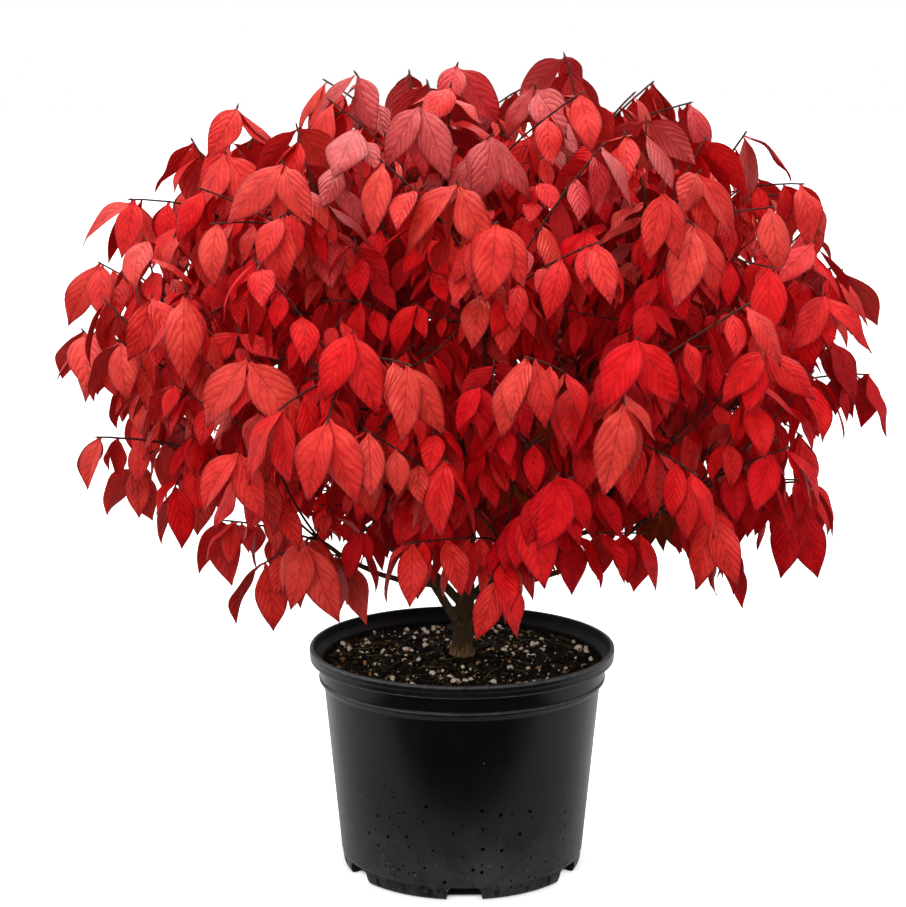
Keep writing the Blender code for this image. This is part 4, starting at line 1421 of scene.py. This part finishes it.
def build_stage():
    """A white sweep: it looks white to the camera, with a painted contact shadow round the pot, and lights the plant
    more softly.
    """
    bpy.ops.mesh.primitive_plane_add(size=40)
    floor = bpy.context.object
    floor.name = "floor"
    made, tree, sockets = principled("floor", Roughness=0.8, Specular_IOR_Level=0.1)
    depth = add(tree, "ShaderNodeSeparateXYZ", Vector=object_place(tree)).outputs["Y"]
    depth = maths(tree, "ADD", depth, FLOOR_EDGE)
    stops = ((0.0, grey(FLOOR_DARK)), (FLOOR_FADE, grey(FLOOR_WHITE)))
    tree.links.new(ramp(tree, depth, *stops), sockets["Base Color"])
    sockets["Emission Color"].default_value = (1, 1, 1, 1)
    seen = add(tree, "ShaderNodeLightPath").outputs["Is Camera Ray"]
    # The floor glows white only for the camera; ambient occlusion dims that glow near the pot as a painted contact
    # shadow
    open_air = add(tree, "ShaderNodeAmbientOcclusion", Distance=CONTACT_REACH).outputs["AO"]
    glow = maths(tree, "MULTIPLY_ADD", open_air, CONTACT_SHADE, 1 - CONTACT_SHADE)
    glow = maths(tree, "MULTIPLY", maths(tree, "MULTIPLY", seen, FLOOR_GLOW), glow)
    tree.links.new(glow, sockets["Emission Strength"])
    floor.data.materials.append(made)
    world = bpy.data.worlds.new("studio")
    world.use_nodes = True
    tree = world.node_tree
    sky = tree.nodes["Background"].inputs
    sky["Color"].default_value = (1, 1, 1, 1)
    rays = add(tree, "ShaderNodeLightPath").outputs
    way = add(tree, "ShaderNodeTexCoord").outputs["Generated"]
    height = add(tree, "ShaderNodeSeparateXYZ", Vector=way).outputs["Z"]
    above = maths(tree, "POWER", maths(tree, "MAXIMUM", height, 0), 3)
    gloss = maths(tree, "MAXIMUM", maths(tree, "MULTIPLY", above, GLOSS_ABOVE), GLOSS_LEAST)
    strength = add(tree, "ShaderNodeMix", Factor=rays["Is Glossy Ray"], A=ROOM_LIGHT, B=gloss).outputs["Result"]
    tree.links.new(maths(tree, "MAXIMUM", rays["Is Camera Ray"], strength), sky["Strength"])
    bpy.context.scene.world = world
    for name, place, size, power in SOFTBOXES:
        softbox(name, place, size, power)


# Studio: what the room gives from all sides, and softboxes with their place, size and watts
FLOOR_GLOW = 0.98
CONTACT_REACH = 0.03
CONTACT_SHADE = 0.8
FLOOR_DARK = 0.03
FLOOR_WHITE = 0.80
FLOOR_EDGE = 0.262
FLOOR_FADE = 0.05
ROOM_LIGHT = 0.73
GLOSS_LEAST = 0.15
GLOSS_ABOVE = 9.0
SOFTBOXES = (
    ("front", (-0.9, -2.1, 1.2), 1.2, 5),
    ("overhead", (-0.2, -0.8, 2.4), 1.4, 5),
    ("left_side", (-2.1, 0.6, 0.80), 1.4, 6.0),
    ("right_side", (2.1, 0.6, 1.1), 1.4, 2.0),
    ("back", (0.2, 2.3, 1.9), 1.4, 6),
    ("fill", (-0.2, -2.4, 0.9), 1.6, 13.5),
)


def softbox(name, place, size, power):
    """A square area light that points at the crown."""
    lamp = bpy.data.lights.new(name, "AREA")
    lamp.size = size
    lamp.energy = power
    holder = bpy.data.objects.new(name, lamp)
    bpy.context.scene.collection.objects.link(holder)
    holder.location = place
    holder.rotation_euler = (CROWN_CENTRE - Vector(place)).to_track_quat("-Z", "Y").to_euler()
    holder.visible_glossy = name != "fill"


# Camera: fitted to the pot's rim and foot, in a picture of 906 by 907 pixels
CAMERA_PLACE = (-0.0083, -2.0, 0.756)
CAMERA_DIP = 10.55
FOCAL_PIXELS = 2250
PICTURE_HEIGHT = 907
SENSOR = 36


def build_camera():
    lens = bpy.data.cameras.new("camera")
    lens.sensor_width = SENSOR
    lens.lens = FOCAL_PIXELS * SENSOR / PICTURE_HEIGHT
    camera = bpy.data.objects.new("camera", lens)
    bpy.context.scene.collection.objects.link(camera)
    camera.location = CAMERA_PLACE
    camera.rotation_euler = (math.radians(90 - CAMERA_DIP), 0, 0)
    bpy.context.scene.camera = camera
    bpy.context.scene.view_settings.view_transform = "Standard"


def buds(twigs):
    """A small dark bud at the end of each twig."""
    bm = bmesh.new()
    bmesh.ops.create_cone(bm, segments=5, radius1=0.5, radius2=0.12, depth=1, cap_ends=False)
    points, faces = template(bm)
    points[:, 2] += 0.5
    frames = []
    for twig in twigs:
        end, heading = twig.route[-1], (twig.route[-1] - twig.route[-2]).normalized()
        size = Matrix.Diagonal((twig.radii[-1] * 2.8, twig.radii[-1] * 2.8, 0.0036, 1))
        frames.append(Matrix.Translation(end - heading * 0.001) @ heading.to_track_quat("Z", "Y").to_matrix().to_4x4() @ size)
    mesh = scattered("buds", (points, faces), frames)
    show("buds", mesh, bark("bud_scales", (0.090, 0.052, 0.040), 0.3))


def main():
    build_camera()
    build_stage()
    build_pot()
    build_soil()
    build_soil_bits()
    shoots = plan_shoots(SHOOTS, LOWEST_SHOOT, SHOOT_REACH, SHOOT_SEED)
    fine_shoots = plan_shoots(FINE_SHOOTS, FINE_LOWEST, FINE_REACH, FINE_SEED, FINE_LOW_SHARE)
    masses = plan_masses(shoots, fine_shoots)
    limbs = plan_limbs(masses)
    settle(masses)
    for mass in masses.values():
        plan_twigs(mass)
    twigs = [twig for mass in masses.values() for twig in mass.twigs if twig.kind == "shoot"]
    fine_twigs = [twig for mass in masses.values() for twig in mass.twigs if twig.kind == "fine"]
    build_trunk()
    rng = random.Random(11)
    sprays = {tint: [] for tint in TINTS}
    bark_look = bark("twig_bark", (0.062, 0.024, 0.018), 0.25)
    room = Room([build_limbs(limbs), build_twigs("twigs", twigs, bark_look)])
    grow_leaves(twigs, room, rng, sprays)
    fine_twigs = [twig for twig in fine_twigs if runs_clear(twig, room)]
    room.wood.append(tree_of(build_twigs("fine_twigs", fine_twigs, bark_look).data))
    grow_leaves(fine_twigs, room, rng, sprays)
    buds(twigs + fine_twigs)
    build_leaves(sprays)


main()
